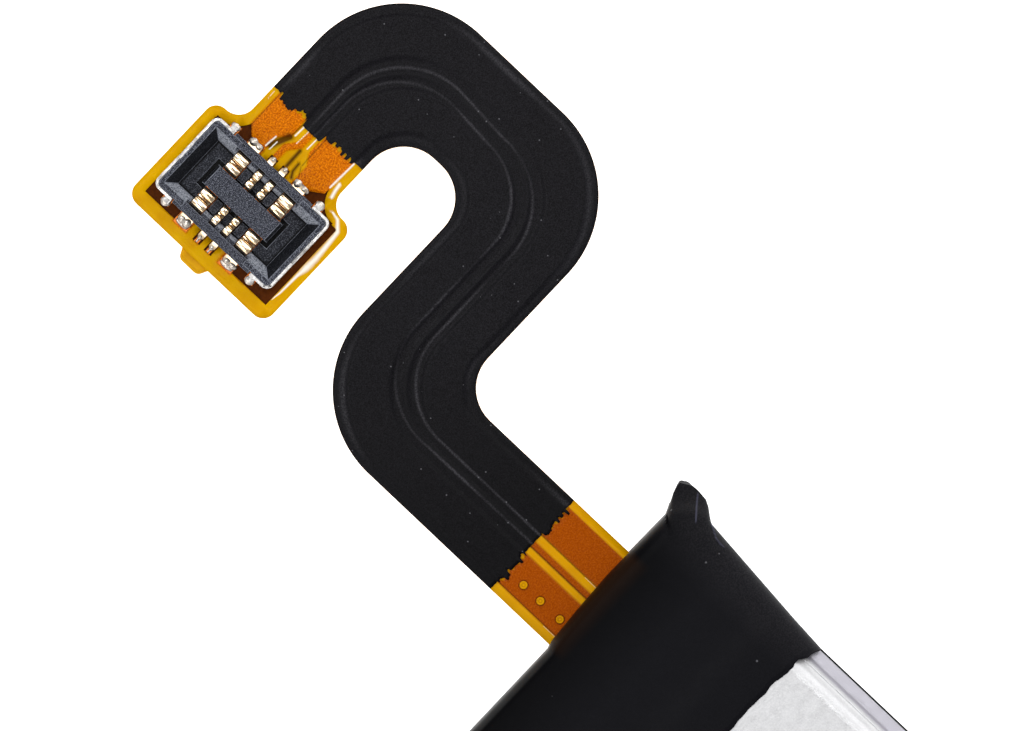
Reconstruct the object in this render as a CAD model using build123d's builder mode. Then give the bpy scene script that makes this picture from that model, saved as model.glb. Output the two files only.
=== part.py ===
from build123d import *
import os

# Pouch battery for a mobile phone, in millimetres.
# The origin is the middle of the back face. +Y points to the connector end,
# +Z to the bare pouch face and to the mating face of the receptacle.

# Body
body_width = 42.0
body_length = 80.0
body_height = 4.9  # back film and pouch
film = 0.06  # thickness of the back film and of the end tape
back_radius = 0.3

# Pouch
laminate_pair = 0.3
side_seal_width = 0.44
side_seal_height = 4.0
side_seal_gap = 0.03
pocket_corner_radius = 1.6
pocket_edge_radius = 0.7
lip_length = 3.2  # sealed lip that carries the terminals
lip_width = 38.0

# Taped end
tape_lap = 1.8  # tape on the pouch face
end_room = 4.5  # from the pocket to the end of the tape
end_height = 3.6
end_flare = 0.62  # how far each side of the tape stands out at the end
slot_depth = 1.0
tape_edge_radius = 0.84
ear_reach = 0.7
ear_setback = 0.75
ear_root_width = 1.35
ear_tip_width = 0.8
ear_root_height = 2.4
ear_tip_height = 0.5
ear_middle = 1.7

# Protection board and what it carries
pad_thickness = 0.69
board_thickness = 0.8
board_depth = 3.3
board_clearance = 0.45
board_inset = 3.5  # from the body's side to the board's left end
weld_plate_thickness = 0.15
weld_plate_width = 4.0
weld_plate_depth = 2.2
tab_thickness = 0.1
tab_width = 3.0
tab_bend = 0.2
tab_standoff = 0.25
tab_seal_width = 5.0
tab_seal_depth = 0.4
cutoff_size = (3.6, 2.4, 0.9)
cutoff_lead_length = 1.0
cutoff_lead_width = 1.8
chip_size = (2.0, 1.6, 0.6)
switch_size = (3.0, 2.2, 0.75)
package_edge = 0.12
chip_part_size = (1.0, 0.5, 0.5)
chip_part_cap = 0.22
resistor_height = 0.35
chip_part_pitch = 1.0

# Places along the board, as shares of the length beside the tail
thermistor_share = 0.06
negative_share = 0.16
cutoff_share = 0.357
chip_share = 0.524
switch_share = 0.641
positive_share = 0.785
capacitor_share = 0.915
resistor_share = 0.958

# Flexible circuit: run 1 leaves the body and run 4 reaches the head
tail_width = 4.0
tail_inset = 4.03  # from the body's side to the middle of run 1
run_2_y = 9.855
run_3_x = 8.98
run_4_y = 17.08
outer_bend_radius = 3.75
inner_bend_radius = 1.45
tail_root = 3.0  # length soldered to the board
coverlay_root = 1.7
base_thickness = 0.08
copper_thickness = 0.04
coverlay_over_copper = 0.03
track_relief = 0.02  # how far the films stand up over the tracks
relief_spread = 0.04
black_film_thickness = 0.04
slot_clearance = 0.06

# Tracks, as distances to the right of the tail's middle line
negative_track = (-1.63, -0.37)
signal_track = (-0.05, 0.11)
positive_track = (0.48, 1.68)
via_x = -1.16
via_places = (0.26, 1.14, 1.9)
via_radius = 0.1
via_sides = 8
via_ring_radius = 0.15
via_ring_width = 0.045
via_ring_height = 0.02

# Head pad, as its reach beyond the receptacle
head_margin_left = 0.85
head_margin_right = 0.32
head_margin_bottom = 0.62
head_margin_top = 0.4
head_corner_radius = 0.45
head_neck_radius = 0.62
corner_gap = 0.01  # straight edge left between two corners
window_margin = 0.38  # cover film round the receptacle
window_reach_right = 0.7
window_reach_left = 0.35
tongue_length = 2.4  # cover film round the leads on the left
stiffener_thickness = 0.2
stiffener_tab_reach = 0.34
stiffener_tab_width = 1.15
land_gap = 0.23  # from the receptacle's side
land_length = 0.92
land_chamfer = 0.3
land_notch = 0.35
left_pad_reach = 0.42  # copper beyond the receptacle's sides
right_pad_reach = 0.27
pad_margin = 0.03
signal_jog = 0.4

# Black film on the tail
black_start = 2.6
black_end = 5.1
black_tongue = 0.3
tooth_pitch = 0.24
tooth_depth = 0.12

# Receptacle
connector_x = 1.6
connector_y = 17.18
connector_width = 3.1
connector_length = 5.18
connector_height = 0.8
side_wall_drop = 0.04
side_wall = 0.3
end_wall = 0.26
side_slope = 0.27
end_slope = 0.33
floor_height = 0.2
slope_foot = 0.42
ledge_height = 0.6
bay_width = 2.46
bay_margin = 0.125  # beyond the outermost contacts
island_width = 0.78
island_margin = 0.175
island_height = 0.7
island_chamfer = 0.08
trench_width = 0.16
trench_floor = 0.1
divider_width = 0.46
divider_length = 0.25
divider_height = 0.16
signal_pitch = 0.51
power_spacing = 2.0

# Spring contacts
strip = 0.08
signal_width = 0.25
power_width = 0.51
contact_clearance = 0.02
hump_outer = 1.16
hump_inner = 0.86
hump_height = 0.68
hump_radius = 0.13
groove_lift = 0.09
inner_height = 0.56
curl_end = 0.7
curl_bend = 0.09
foot_reach = 0.2
foot_bend = 0.06

# Hold-downs and solder
strap = 0.1
strap_height = 0.76
strap_contact_gap = 0.505
strap_radius = 0.22
strap_notch_width = 0.66
strap_notch_floor = 0.5
strap_clearance = 0.01
strap_foot_reach = 0.16
strap_foot_width = 0.26
strap_foot_height = 0.12
anchor_margin = 0.05
solder_rise = 0.07
solder_slope = 40

# Levels and places that follow from the sizes above
half_width = body_width / 2
half_length = body_length / 2
half_tail = tail_width / 2
cell_half_width = half_width - film
pocket_width = 2 * (cell_half_width - side_seal_width - side_seal_gap)
pocket_end = half_length - end_room
tape_start = pocket_end - tape_lap
lip_end = pocket_end + lip_length
lip_top = film + laminate_pair
board_bottom = lip_top + pad_thickness
board_top = board_bottom + board_thickness
board_start = pocket_end + board_clearance
board_end = board_start + board_depth
tail_x = half_width - tail_inset
board_left = board_inset - half_width
board_right = tail_x + half_tail + board_clearance
board_middle = (board_left + board_right) / 2
board_axis = (board_start + board_end) / 2

copper_top = base_thickness + copper_thickness
coverlay_top = copper_top + coverlay_over_copper
amber_top = coverlay_top + track_relief
tail = Plane((tail_x, half_length, board_top))
receptacle = Plane((tail_x + connector_x, half_length + connector_y, board_top + copper_top))
strap_inset = strap + strap_clearance
leads = [(-power_spacing / 2, power_width), (-signal_pitch / 2, signal_width)]
leads += [(-place, width) for place, width in reversed(leads)]


def finish(builder, name):
    builder.part.label = name
    export_step(builder.part, f"parts/{name}.step")


os.makedirs("parts", exist_ok=True)

# Pouch: a drawn pocket with sealed sides folded up and a sealed lip at the end
with BuildPart() as pouch_cell:
    with BuildSketch(Plane.XY.offset(film)):
        with Locations((0, (pocket_end - half_length) / 2)):
            Rectangle(pocket_width, pocket_end + half_length)
    extrude(amount=body_height - film)
    fillet(pouch_cell.edges().filter_by(Axis.Z).group_by(Axis.Y)[0], pocket_corner_radius)
    fillet(pouch_cell.faces().sort_by(Axis.Z)[-1].edges(), pocket_edge_radius)
    with BuildSketch(Plane.XZ.offset(half_length)):
        with BuildLine():
            FilletPolyline(
                (-cell_half_width, side_seal_height),
                (-cell_half_width, film),
                (cell_half_width, film),
                (cell_half_width, side_seal_height),
                radius=back_radius - film,
            )
            FilletPolyline(
                (cell_half_width, side_seal_height),
                (cell_half_width - side_seal_width, side_seal_height),
                (cell_half_width - side_seal_width, lip_top),
                (side_seal_width - cell_half_width, lip_top),
                (side_seal_width - cell_half_width, side_seal_height),
                (-cell_half_width, side_seal_height),
                radius=[side_seal_width / 4, 0, 0, side_seal_width / 4],
            )
        make_face()
    extrude(amount=-(pocket_end + half_length))
    with BuildSketch(Plane.XY.offset(film)):
        with Locations((0, pocket_end)):
            Rectangle(lip_width, 2 * lip_length)
    extrude(amount=laminate_pair)
finish(pouch_cell, "pouch_cell")

# Film round the back and the sides
with BuildPart() as label_wrap:
    with BuildSketch(Plane.XZ.offset(half_length)):
        with BuildLine():
            FilletPolyline(
                (-half_width, side_seal_height),
                (-half_width, 0),
                (half_width, 0),
                (half_width, side_seal_height),
                radius=back_radius,
            )
            FilletPolyline(
                (half_width, side_seal_height),
                (cell_half_width, side_seal_height),
                (cell_half_width, film),
                (-cell_half_width, film),
                (-cell_half_width, side_seal_height),
                (-half_width, side_seal_height),
                radius=[0, back_radius - film, back_radius - film, 0],
            )
        make_face()
    extrude(amount=-(tape_start + half_length))
finish(label_wrap, "label_wrap")


# Form of the taped end, drawn in by an amount for its inside
def end_form(inset):
    low = inset
    high = body_height + film - inset
    end = half_length - inset
    slope = (body_height + film - end_height) / end_room
    with BuildPart() as form:
        with BuildSketch(Plane.YZ):
            with BuildLine():
                Polyline(
                    (tape_start, low),
                    (end, low),
                    (end, high - slope * (end - pocket_end)),
                    (pocket_end, high),
                    (tape_start, high),
                    close=True,
                )
            make_face()
        extrude(amount=body_width, both=True)
        with BuildSketch():
            with BuildLine():
                Polyline(
                    (inset - half_width, tape_start),
                    (inset - half_width - end_flare, end),
                    (half_width + end_flare - inset, end),
                    (half_width - inset, tape_start),
                    close=True,
                )
            make_face()
        extrude(amount=body_height + film, mode=Mode.INTERSECT)
        rim = form.faces().sort_by(Axis.Y)[0].edges()
        back = form.faces().sort_by(Axis.Z)[0].edges()
        uprights = form.edges().filter_by(Axis.Z)
        top = form.edges() - back - rim - uprights - form.edges().filter_by(Axis.X)
        end_edge = form.edges().filter_by(Axis.X).group_by(Axis.Y)[-1].sort_by(Axis.Z)[-1]
        fillet(top + ShapeList([end_edge]), tape_edge_radius - inset)
        back = form.faces().sort_by(Axis.Z)[0].edges() - form.faces().sort_by(Axis.Y)[0].edges()
        fillet(back, back_radius - inset)
    return form.part


# Tape cap over the board, pinched to an ear at the corner beside the tail
ear_root = Vector(half_width + end_flare - ear_setback, half_length - ear_setback, ear_middle)
with BuildPart() as end_tape:
    add(end_form(0))
    with BuildSketch(Plane(ear_root, x_dir=(1, -1, 0), z_dir=(1, 1, 0))):
        Rectangle(ear_root_width, ear_root_height)
    with BuildSketch(Plane(ear_root, x_dir=(1, -1, 0), z_dir=(1, 1, 0)).offset(ear_setback + ear_reach)):
        Rectangle(ear_tip_width, ear_tip_height)
    loft()
    add(end_form(film), mode=Mode.SUBTRACT)
    with BuildSketch(tail.offset(-slot_clearance)):
        Rectangle(tail_width + 2 * slot_clearance, 2 * slot_depth)
    extrude(amount=amber_top + 2 * slot_clearance, mode=Mode.SUBTRACT)
finish(end_tape, "end_tape")


# Pad that keeps the board off the pouch lip
with BuildPart() as board_pad:
    with BuildSketch(Plane.XY.offset(lip_top)):
        with Locations((board_middle, board_axis)):
            Rectangle(board_right - board_left, board_depth - 2 * tab_standoff)
    extrude(amount=pad_thickness)
finish(board_pad, "board_pad")

with BuildPart() as protection_board:
    with BuildSketch(Plane.XY.offset(board_bottom)):
        with Locations((board_middle, board_axis)):
            Rectangle(board_right - board_left, board_depth)
    extrude(amount=board_thickness)
finish(protection_board, "protection_board")


# Place along the board beside the tail
def along_board(share):
    return board_left + share * (tail_x - half_tail - board_left)


# Terminal: out of the lip, up past the board and back onto its weld plate
def terminal(name, place):
    rise = board_end + tab_standoff + tab_thickness / 2
    lip_middle = (film + lip_top) / 2
    plate_top = board_top + weld_plate_thickness
    plane = Plane((place, 0, 0), x_dir=(0, 1, 0), z_dir=(1, 0, 0))
    with BuildPart() as tab:
        with BuildSketch(plane):
            with BuildLine():
                Polyline(
                    (lip_end, lip_middle),
                    (rise - tab_bend, lip_middle),
                    (rise, lip_middle + tab_bend),
                    (rise, plate_top + tab_thickness / 2 - tab_bend),
                    (rise - tab_bend, plate_top + tab_thickness / 2),
                    (board_axis - weld_plate_depth / 2, plate_top + tab_thickness / 2),
                )
            trace(line_width=tab_thickness)
        extrude(amount=tab_width / 2, both=True)
    finish(tab, f"{name}_tab")

    with BuildPart() as seal:
        with BuildSketch(Plane.XY.offset(film)):
            with Locations((place, lip_end + tab_seal_depth / 2)):
                Rectangle(tab_seal_width, tab_seal_depth)
        extrude(amount=laminate_pair)
        add(tab.part, mode=Mode.SUBTRACT)
    finish(seal, f"{name}_tab_seal")

    with BuildPart() as weld_plate:
        with BuildSketch(Plane.XY.offset(board_top)):
            with Locations((place, board_axis)):
                Rectangle(weld_plate_width, weld_plate_depth)
        extrude(amount=weld_plate_thickness)
    finish(weld_plate, f"{name}_weld_plate")


terminal("positive", along_board(positive_share))
terminal("negative", along_board(negative_share))


# Moulded package on the board
def package(name, place, size):
    length, width, height = size
    with BuildPart() as body:
        with BuildSketch(Plane.XY.offset(board_top)):
            with Locations((place, board_axis)):
                Rectangle(length, width)
        extrude(amount=height)
        chamfer(body.faces().sort_by(Axis.Z)[-1].edges(), package_edge)
    finish(body, name)


package("protection_chip", along_board(chip_share), chip_size)
package("switch_transistors", along_board(switch_share), switch_size)

# Thermal cutoff with a flat lead at each end
with BuildPart() as thermal_cutoff:
    length, width, height = cutoff_size
    cutoff_place = (along_board(cutoff_share), board_axis)
    with BuildSketch(Plane.XY.offset(board_top)):
        with Locations(cutoff_place):
            Rectangle(length, width)
    extrude(amount=height)
    chamfer(thermal_cutoff.faces().sort_by(Axis.Z)[-1].edges(), package_edge)
    with BuildSketch(Plane.XY.offset(board_top)):
        with Locations(cutoff_place):
            Rectangle(length + 2 * cutoff_lead_length, cutoff_lead_width)
    extrude(amount=tab_thickness)
finish(thermal_cutoff, "thermal_cutoff")


# Row of chip parts across the board, each with a raised cap at both ends
def chip_row(name, place, count, height):
    length, width, _ = chip_part_size
    with BuildPart() as row:
        with BuildSketch(Plane.XY.offset(board_top)):
            with Locations((place, board_axis)):
                with GridLocations(length, chip_part_pitch, 1, count):
                    Rectangle(length, width)
        extrude(amount=height)
        with BuildSketch(Plane.XY.offset(board_top + height)):
            with Locations((place, board_axis)):
                with GridLocations(length - chip_part_cap, chip_part_pitch, 2, count):
                    Rectangle(chip_part_cap, width)
        extrude(amount=film)
    finish(row, name)


chip_row("chip_capacitors", along_board(capacitor_share), 2, chip_part_size[2])
chip_row("chip_resistors", along_board(resistor_share), 3, resistor_height)
chip_row("thermistor", along_board(thermistor_share), 1, chip_part_size[2])


# One edge of the tail or of a track, at a distance to the right of the middle line
def edge_corners(side, start, end):
    return [
        (side, start),
        (side, run_2_y - side),
        (run_3_x + side, run_2_y - side),
        (run_3_x + side, run_4_y + side),
        (end, run_4_y + side),
    ]


# The tail turns right once and then left twice, so its inner side changes over
def edge_radii(side):
    middle = (outer_bend_radius + inner_bend_radius) / 2
    change = (outer_bend_radius - inner_bend_radius) / tail_width
    return [middle - change * side, middle + change * side, middle + change * side]


# Strip along the tail between two distances from its middle line
def tail_strip(left, right, start, end):
    with BuildLine() as edges:
        near = FilletPolyline(*edge_corners(left, start, end), radius=edge_radii(left))
        far = FilletPolyline(*edge_corners(right, start, end), radius=edge_radii(right))
        Line(near @ 0, far @ 0)
        Line(near @ 1, far @ 1)
    make_face(edges.edges())


connector_left = connector_x - connector_width / 2
connector_right = connector_x + connector_width / 2
head_left = connector_left - head_margin_left
head_right = connector_right + head_margin_right
head_bottom = connector_y - connector_length / 2 - head_margin_bottom
head_top = connector_y + connector_length / 2 + head_margin_top
head_width = head_right - head_left
head_length = head_top - head_bottom
head_center = ((head_left + head_right) / 2, (head_bottom + head_top) / 2)
tail_edges_y = (run_4_y - half_tail, run_4_y + half_tail)
run_4_end = connector_x
shoulder = min(tail_edges_y[0] - head_bottom, head_top - tail_edges_y[1])
neck_radius = min(head_neck_radius, shoulder - head_corner_radius - corner_gap)
window_left = connector_left - window_reach_left
window_flank = connector_right + window_reach_right
land_start = connector_right + land_gap
land_join = land_start + land_length


def nearest(sketch, x, y):
    return sketch.vertices().sort_by_distance((x, y, 0))[0]


# Outline of the flexible circuit with its head pad
with BuildSketch() as circuit:
    tail_strip(-half_tail, half_tail, -tail_root, run_4_end)
    with Locations(head_center):
        Rectangle(head_width, head_length)
    corners = [nearest(circuit, x, y) for x in (head_left, head_right) for y in (head_bottom, head_top)]
    fillet(corners, head_corner_radius)
    fillet([nearest(circuit, head_right, y) for y in tail_edges_y], neck_radius)

signal_rows = [connector_y + signal_pitch / 2, connector_y - signal_pitch / 2]
power_rows = [connector_y + power_spacing / 2, connector_y - power_spacing / 2]
connector_center = (connector_x, connector_y)
pads_left = connector_left - left_pad_reach
pads_right = connector_right + right_pad_reach


# Track along the tail that narrows to a land and runs on under the receptacle
def track(edges, place, turn):
    left, right = edges
    outer, inner = (right, left) if turn > 0 else (left, right)
    half_pad = power_width / 2 + pad_margin
    tail_strip(left, right, -tail_root, land_join)
    with BuildLine() as land:
        Polyline(
            (land_join, run_4_y + outer),
            (land_start + land_chamfer, run_4_y + outer),
            (land_start, place + turn * half_pad),
            (land_start, place - turn * half_pad),
            (land_join - land_notch, place - turn * half_pad),
            (land_join, run_4_y + inner),
            close=True,
        )
    make_face(land.edges())
    with Locations(((pads_left + land_start) / 2, place)):
        Rectangle(land_start - pads_left, 2 * half_pad)


with BuildSketch() as positive:
    track(positive_track, power_rows[0], 1)

with BuildSketch() as negative:
    track(negative_track, power_rows[1], -1)

with BuildSketch() as signal:
    tail_strip(*signal_track, -tail_root, land_join)
    with BuildLine() as jog:
        signal_middle = run_4_y + sum(signal_track) / 2
        Polyline(
            (land_join + signal_jog, signal_middle),
            (land_join, signal_middle),
            (land_join - signal_jog, signal_rows[0]),
            (pads_left, signal_rows[0]),
        )
        Line((pads_left, signal_rows[1]), (pads_right, signal_rows[1]))
    trace(jog.edges(), line_width=signal_track[1] - signal_track[0])

# Pads for the feet of the two metal straps
strap_side = connector_width / 2 - strap / 2
strap_end = connector_length / 2 - strap / 2
strap_start = power_spacing / 2 + power_width / 2 + strap_contact_gap
foot_place = connector_width / 2 + strap_foot_reach / 2 - strap / 2
anchor_width = strap_foot_reach + strap + 2 * anchor_margin
anchor_length = strap_foot_width + 2 * anchor_margin
with BuildSketch() as anchors:
    with Locations(connector_center):
        with GridLocations(2 * foot_place, 2 * strap_start + strap_foot_width, 2, 2):
            Rectangle(anchor_width, anchor_length)

# Opening of the cover film: round the receptacle, and over each pad
with BuildSketch() as window:
    add(circuit.sketch)
    offset(amount=-window_margin)
    with Locations(((window_left + window_flank) / 2, head_center[1])):
        Rectangle(window_flank - window_left, head_length, mode=Mode.INTERSECT)
    with Locations(((window_left + connector_left) / 2, connector_y)):
        Rectangle(connector_left - window_left, tongue_length, mode=Mode.SUBTRACT)
    with Locations(((connector_right + window_flank) / 2, connector_y)):
        Rectangle(window_flank - connector_right, power_spacing, mode=Mode.SUBTRACT)
    add(positive.sketch, mode=Mode.SUBTRACT)
    add(negative.sketch, mode=Mode.SUBTRACT)
    add(anchors.sketch)
    with Locations(connector_center):
        Rectangle(connector_width, connector_length)
    for place, width in leads:
        with Locations(((pads_left + pads_right) / 2, connector_y + place)):
            Rectangle(pads_right - pads_left, width + 2 * pad_margin)

via_holes = [(via_x, place) for place in via_places]

with BuildPart() as flex_base:
    with BuildSketch(tail):
        add(circuit.sketch)
        with Locations(via_holes):
            RegularPolygon(via_radius, via_sides, mode=Mode.SUBTRACT)
    extrude(amount=base_thickness)
finish(flex_base, "flex_base")

copper = [("positive_copper", positive), ("negative_copper", negative), ("signal_copper", signal)]
for name, outline in copper:
    with BuildPart() as layer:
        with BuildSketch(tail.offset(base_thickness)):
            add(outline.sketch)
            with Locations(via_holes):
                RegularPolygon(via_radius, via_sides, mode=Mode.SUBTRACT)
        extrude(amount=copper_thickness)
    finish(layer, name)

with BuildPart() as plated_vias:
    with BuildSketch(tail):
        with Locations(via_holes):
            RegularPolygon(via_radius, via_sides)
    extrude(amount=copper_top)
finish(plated_vias, "plated_vias")

# Black film over the tail, with a torn edge where it crosses the tracks
with BuildSketch() as black_outline:
    tail_strip(-half_tail, half_tail, black_start, black_end)
    gap_low = run_4_y + negative_track[1]
    gap_high = run_4_y + positive_track[0]
    with Locations((black_end, (gap_low + gap_high) / 2)):
        Rectangle(2 * black_tongue, gap_high - gap_low)
    for left, right in (negative_track, positive_track):
        count = int((right - left) / tooth_pitch)
        with Locations(((left + right) / 2, black_start)):
            with GridLocations(tooth_pitch, 0, count, 1):
                RegularPolygon(tooth_depth, 4)
        with Locations((black_end, run_4_y + (left + right) / 2)):
            with GridLocations(0, tooth_pitch, 1, count):
                RegularPolygon(tooth_depth, 4)

# Where the cover film stands up over the tracks and isn't under the black film
with BuildSketch() as all_copper:
    for _, outline in copper:
        add(outline.sketch)
with BuildSketch() as amber_relief:
    add(all_copper.sketch)
    offset(amount=relief_spread, kind=Kind.INTERSECTION)
    add(circuit.sketch, mode=Mode.INTERSECT)
    add(black_outline.sketch, mode=Mode.SUBTRACT)

with BuildPart() as coverlay:
    with BuildSketch(tail.offset(base_thickness)):
        add(circuit.sketch)
    extrude(amount=copper_thickness + coverlay_over_copper)
    with BuildSketch(tail.offset(base_thickness)):
        tail_strip(negative_track[0], positive_track[1], -tail_root, land_join)
        add(all_copper.sketch)
    extrude(amount=copper_thickness, mode=Mode.SUBTRACT)
    with BuildSketch(tail.offset(coverlay_top)):
        add(amber_relief.sketch)
    extrude(amount=track_relief)
    with BuildSketch(tail.offset(amber_top)):
        with Locations(via_holes):
            RegularPolygon(via_ring_radius, via_sides)
            RegularPolygon(via_ring_radius - via_ring_width, via_sides, mode=Mode.SUBTRACT)
    extrude(amount=via_ring_height)
    with BuildSketch(tail.offset(base_thickness)):
        add(window.sketch)
        with Locations((0, -coverlay_root - tail_width / 2)):
            Rectangle(2 * tail_width, tail_width)
    extrude(amount=amber_top, mode=Mode.SUBTRACT)
finish(coverlay, "coverlay")

with BuildPart() as black_cover_film:
    with BuildSketch(tail.offset(coverlay_top)):
        add(black_outline.sketch)
    extrude(amount=black_film_thickness)
    with BuildSketch(tail.offset(coverlay_top)):
        tail_strip(*negative_track, black_start, black_end)
        tail_strip(*positive_track, black_start, black_end)
    extrude(amount=black_film_thickness + track_relief)
finish(black_cover_film, "black_cover_film")

# Stiffener under the head pad, with the tab by which it was held in its panel
with BuildPart() as head_stiffener:
    with BuildSketch(tail):
        with Locations(head_center):
            RectangleRounded(head_width, head_length, head_corner_radius)
        with BuildLine() as tab_edge:
            tab_left = head_left - stiffener_tab_reach
            half_tab = stiffener_tab_width / 2
            tab_middle = head_center[1]
            Polyline(
                (head_left, tab_middle + half_tab),
                (tab_left, tab_middle + half_tab - stiffener_tab_reach / 2),
                (tab_left, tab_middle - half_tab + stiffener_tab_reach / 2),
                (head_left, tab_middle - half_tab),
                close=True,
            )
        make_face()
    extrude(amount=-stiffener_thickness)
finish(head_stiffener, "head_stiffener")

# Receptacle housing: two end blocks, lower side walls, a ring groove and an island
block_width = connector_width - 2 * strap_inset
block_length = connector_length - 2 * strap_inset
mouth_width = connector_width - 2 * side_wall
mouth_length = connector_length - 2 * end_wall
floor_width = mouth_width - 2 * side_slope
floor_length = mouth_length - 2 * end_slope
contact_rows = power_spacing + power_width
bay_length = contact_rows + 2 * bay_margin
island_length = contact_rows + 2 * island_margin
with BuildPart() as connector_housing:
    with BuildSketch(receptacle):
        RectangleRounded(block_width, block_length, strap_radius - strap_inset + strap / 2)
    extrude(amount=connector_height)
    with BuildSketch(receptacle):
        Rectangle(connector_width, 2 * strap_start + strap - 2 * strap_inset)
    extrude(amount=connector_height - side_wall_drop)
    with BuildSketch(receptacle.offset(slope_foot)):
        Rectangle(floor_width, floor_length)
    with BuildSketch(receptacle.offset(connector_height)):
        Rectangle(mouth_width, mouth_length)
    loft(mode=Mode.SUBTRACT)
    with BuildSketch(receptacle.offset(floor_height)):
        Rectangle(floor_width, floor_length)
    extrude(amount=slope_foot - floor_height, mode=Mode.SUBTRACT)
    with BuildSketch(receptacle.offset(ledge_height)):
        Rectangle(bay_width, bay_length)
    extrude(amount=connector_height - ledge_height, mode=Mode.SUBTRACT)
    with BuildSketch(receptacle.offset(connector_height - side_wall_drop)):
        Rectangle(connector_width, bay_length)
    extrude(amount=side_wall_drop, mode=Mode.SUBTRACT)
    with BuildSketch(receptacle.offset(trench_floor)):
        Rectangle(island_width + 2 * trench_width, island_length + 2 * trench_width)
    extrude(amount=floor_height - trench_floor, mode=Mode.SUBTRACT)
    with BuildSketch(receptacle.offset(trench_floor)):
        Rectangle(island_width, island_length)
    extrude(amount=island_height - trench_floor)
    island_top = receptacle.origin + Vector(0, 0, island_height)
    island_face = connector_housing.faces().sort_by_distance(island_top)[0]
    chamfer(island_face.edges().filter_by(Axis.X), island_chamfer)
    with BuildSketch(receptacle.offset(floor_height)):
        divider_x = (island_width + floor_width) / 4
        divider_y = (power_spacing - power_width + signal_pitch + signal_width) / 4
        with GridLocations(2 * divider_x, 2 * divider_y, 2, 2):
            Rectangle(divider_width, divider_length)
    extrude(amount=divider_height)
    for place, width in leads:
        slot = 2 * (hump_outer + strip / 2 + contact_clearance)
        with BuildSketch(receptacle):
            with Locations((0, place)):
                Rectangle(slot, width + 2 * contact_clearance)
                Rectangle(island_width, width + 2 * contact_clearance, mode=Mode.SUBTRACT)
        extrude(amount=connector_height, mode=Mode.SUBTRACT)
        with BuildSketch(receptacle):
            with Locations((0, place)):
                Rectangle(connector_width, width + 2 * contact_clearance)
                Rectangle(island_width, width + 2 * contact_clearance, mode=Mode.SUBTRACT)
        extrude(amount=strip + contact_clearance, mode=Mode.SUBTRACT)
finish(connector_housing, "connector_housing")

# Spring contact: foot on its pad, hump at the wall and a curled end beside the island
inner_rise = island_width / 2 + contact_clearance + strip / 2
foot_end = connector_width / 2 + foot_reach


def contact(name, side, place, width):
    start = receptacle.location * Location((0, place, 0))
    plane = Plane(start.position, x_dir=(side, 0, 0), z_dir=(0, -side, 0))
    with BuildPart() as spring:
        with BuildSketch(plane):
            with BuildLine():
                FilletPolyline(
                    (foot_end, strip / 2),
                    (hump_outer + foot_bend, strip / 2),
                    (hump_outer, foot_bend + strip / 2),
                    (hump_outer, hump_height - strip / 2),
                    (hump_inner, hump_height - strip / 2),
                    (hump_inner, groove_lift + foot_bend + strip / 2),
                    (hump_inner - foot_bend, groove_lift + strip / 2),
                    (inner_rise + foot_bend, groove_lift + strip / 2),
                    (inner_rise, groove_lift + foot_bend + strip / 2),
                    (inner_rise, inner_height - curl_bend - strip / 2),
                    (inner_rise + curl_bend, inner_height - strip / 2),
                    (curl_end - curl_bend, inner_height - strip / 2),
                    (curl_end, inner_height - curl_bend - strip / 2),
                    radius=[0, 0, hump_radius, hump_radius, 0, 0, 0, 0, 0, 0, 0],
                )
            trace(line_width=strip)
        extrude(amount=width / 2, both=True)
    finish(spring, name)
    return spring.part


# Solder round a lead's foot
def solder_fillet(side, place, width, reach):
    length = foot_reach + reach
    with BuildPart() as fillet_of_solder:
        with BuildSketch(receptacle):
            with Locations((side * (connector_width / 2 + length / 2), place)):
                Rectangle(length, width + 2 * pad_margin)
        extrude(amount=solder_rise, taper=solder_slope)
    return fillet_of_solder.part


contacts = {}
for side_name, side in (("left", -1), ("right", 1)):
    for number, (place, width) in enumerate(leads, start=1):
        kind = "power" if width == power_width else "signal"
        name = f"{kind}_contact_{side_name}_{number}"
        contacts[name] = contact(name, side, place, width)

with BuildPart() as contact_solder:
    for side, pad_end in ((-1, left_pad_reach), (1, right_pad_reach)):
        for place, width in leads:
            add(solder_fillet(side, place, width, pad_end - foot_reach))
    for spring in contacts.values():
        add(spring, mode=Mode.SUBTRACT)
finish(contact_solder, "contact_solder")

# Metal straps round the two ends of the housing, each on its own pads
for name, end in (("hold_down_front", 1), ("hold_down_rear", -1)):
    feet = [(turn * foot_place, end * (strap_start + strap_foot_width / 2)) for turn in (-1, 1)]
    with BuildPart() as hold_down:
        with BuildSketch(receptacle):
            with BuildLine():
                FilletPolyline(
                    (-strap_side, end * strap_start),
                    (-strap_side, end * strap_end),
                    (strap_side, end * strap_end),
                    (strap_side, end * strap_start),
                    radius=strap_radius,
                )
            trace(line_width=strap)
        extrude(amount=strap_height)
        with BuildSketch(receptacle.offset(strap_notch_floor)):
            with Locations((0, end * strap_end)):
                Rectangle(strap_notch_width, 2 * strap)
        extrude(amount=strap_height, mode=Mode.SUBTRACT)
        with BuildSketch(receptacle):
            with Locations(feet):
                Rectangle(strap_foot_reach + strap, strap_foot_width)
        extrude(amount=strap_foot_height)
    finish(hold_down, name)

with BuildPart() as anchor_pads:
    with BuildSketch(tail.offset(base_thickness)):
        add(anchors.sketch)
    extrude(amount=copper_thickness)
finish(anchor_pads, "anchor_pads")
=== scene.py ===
import math
import random

import bmesh
import bpy
import numpy as np
from mathutils import Matrix, Vector, geometry, noise
from mathutils.bvhtree import BVHTree


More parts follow.
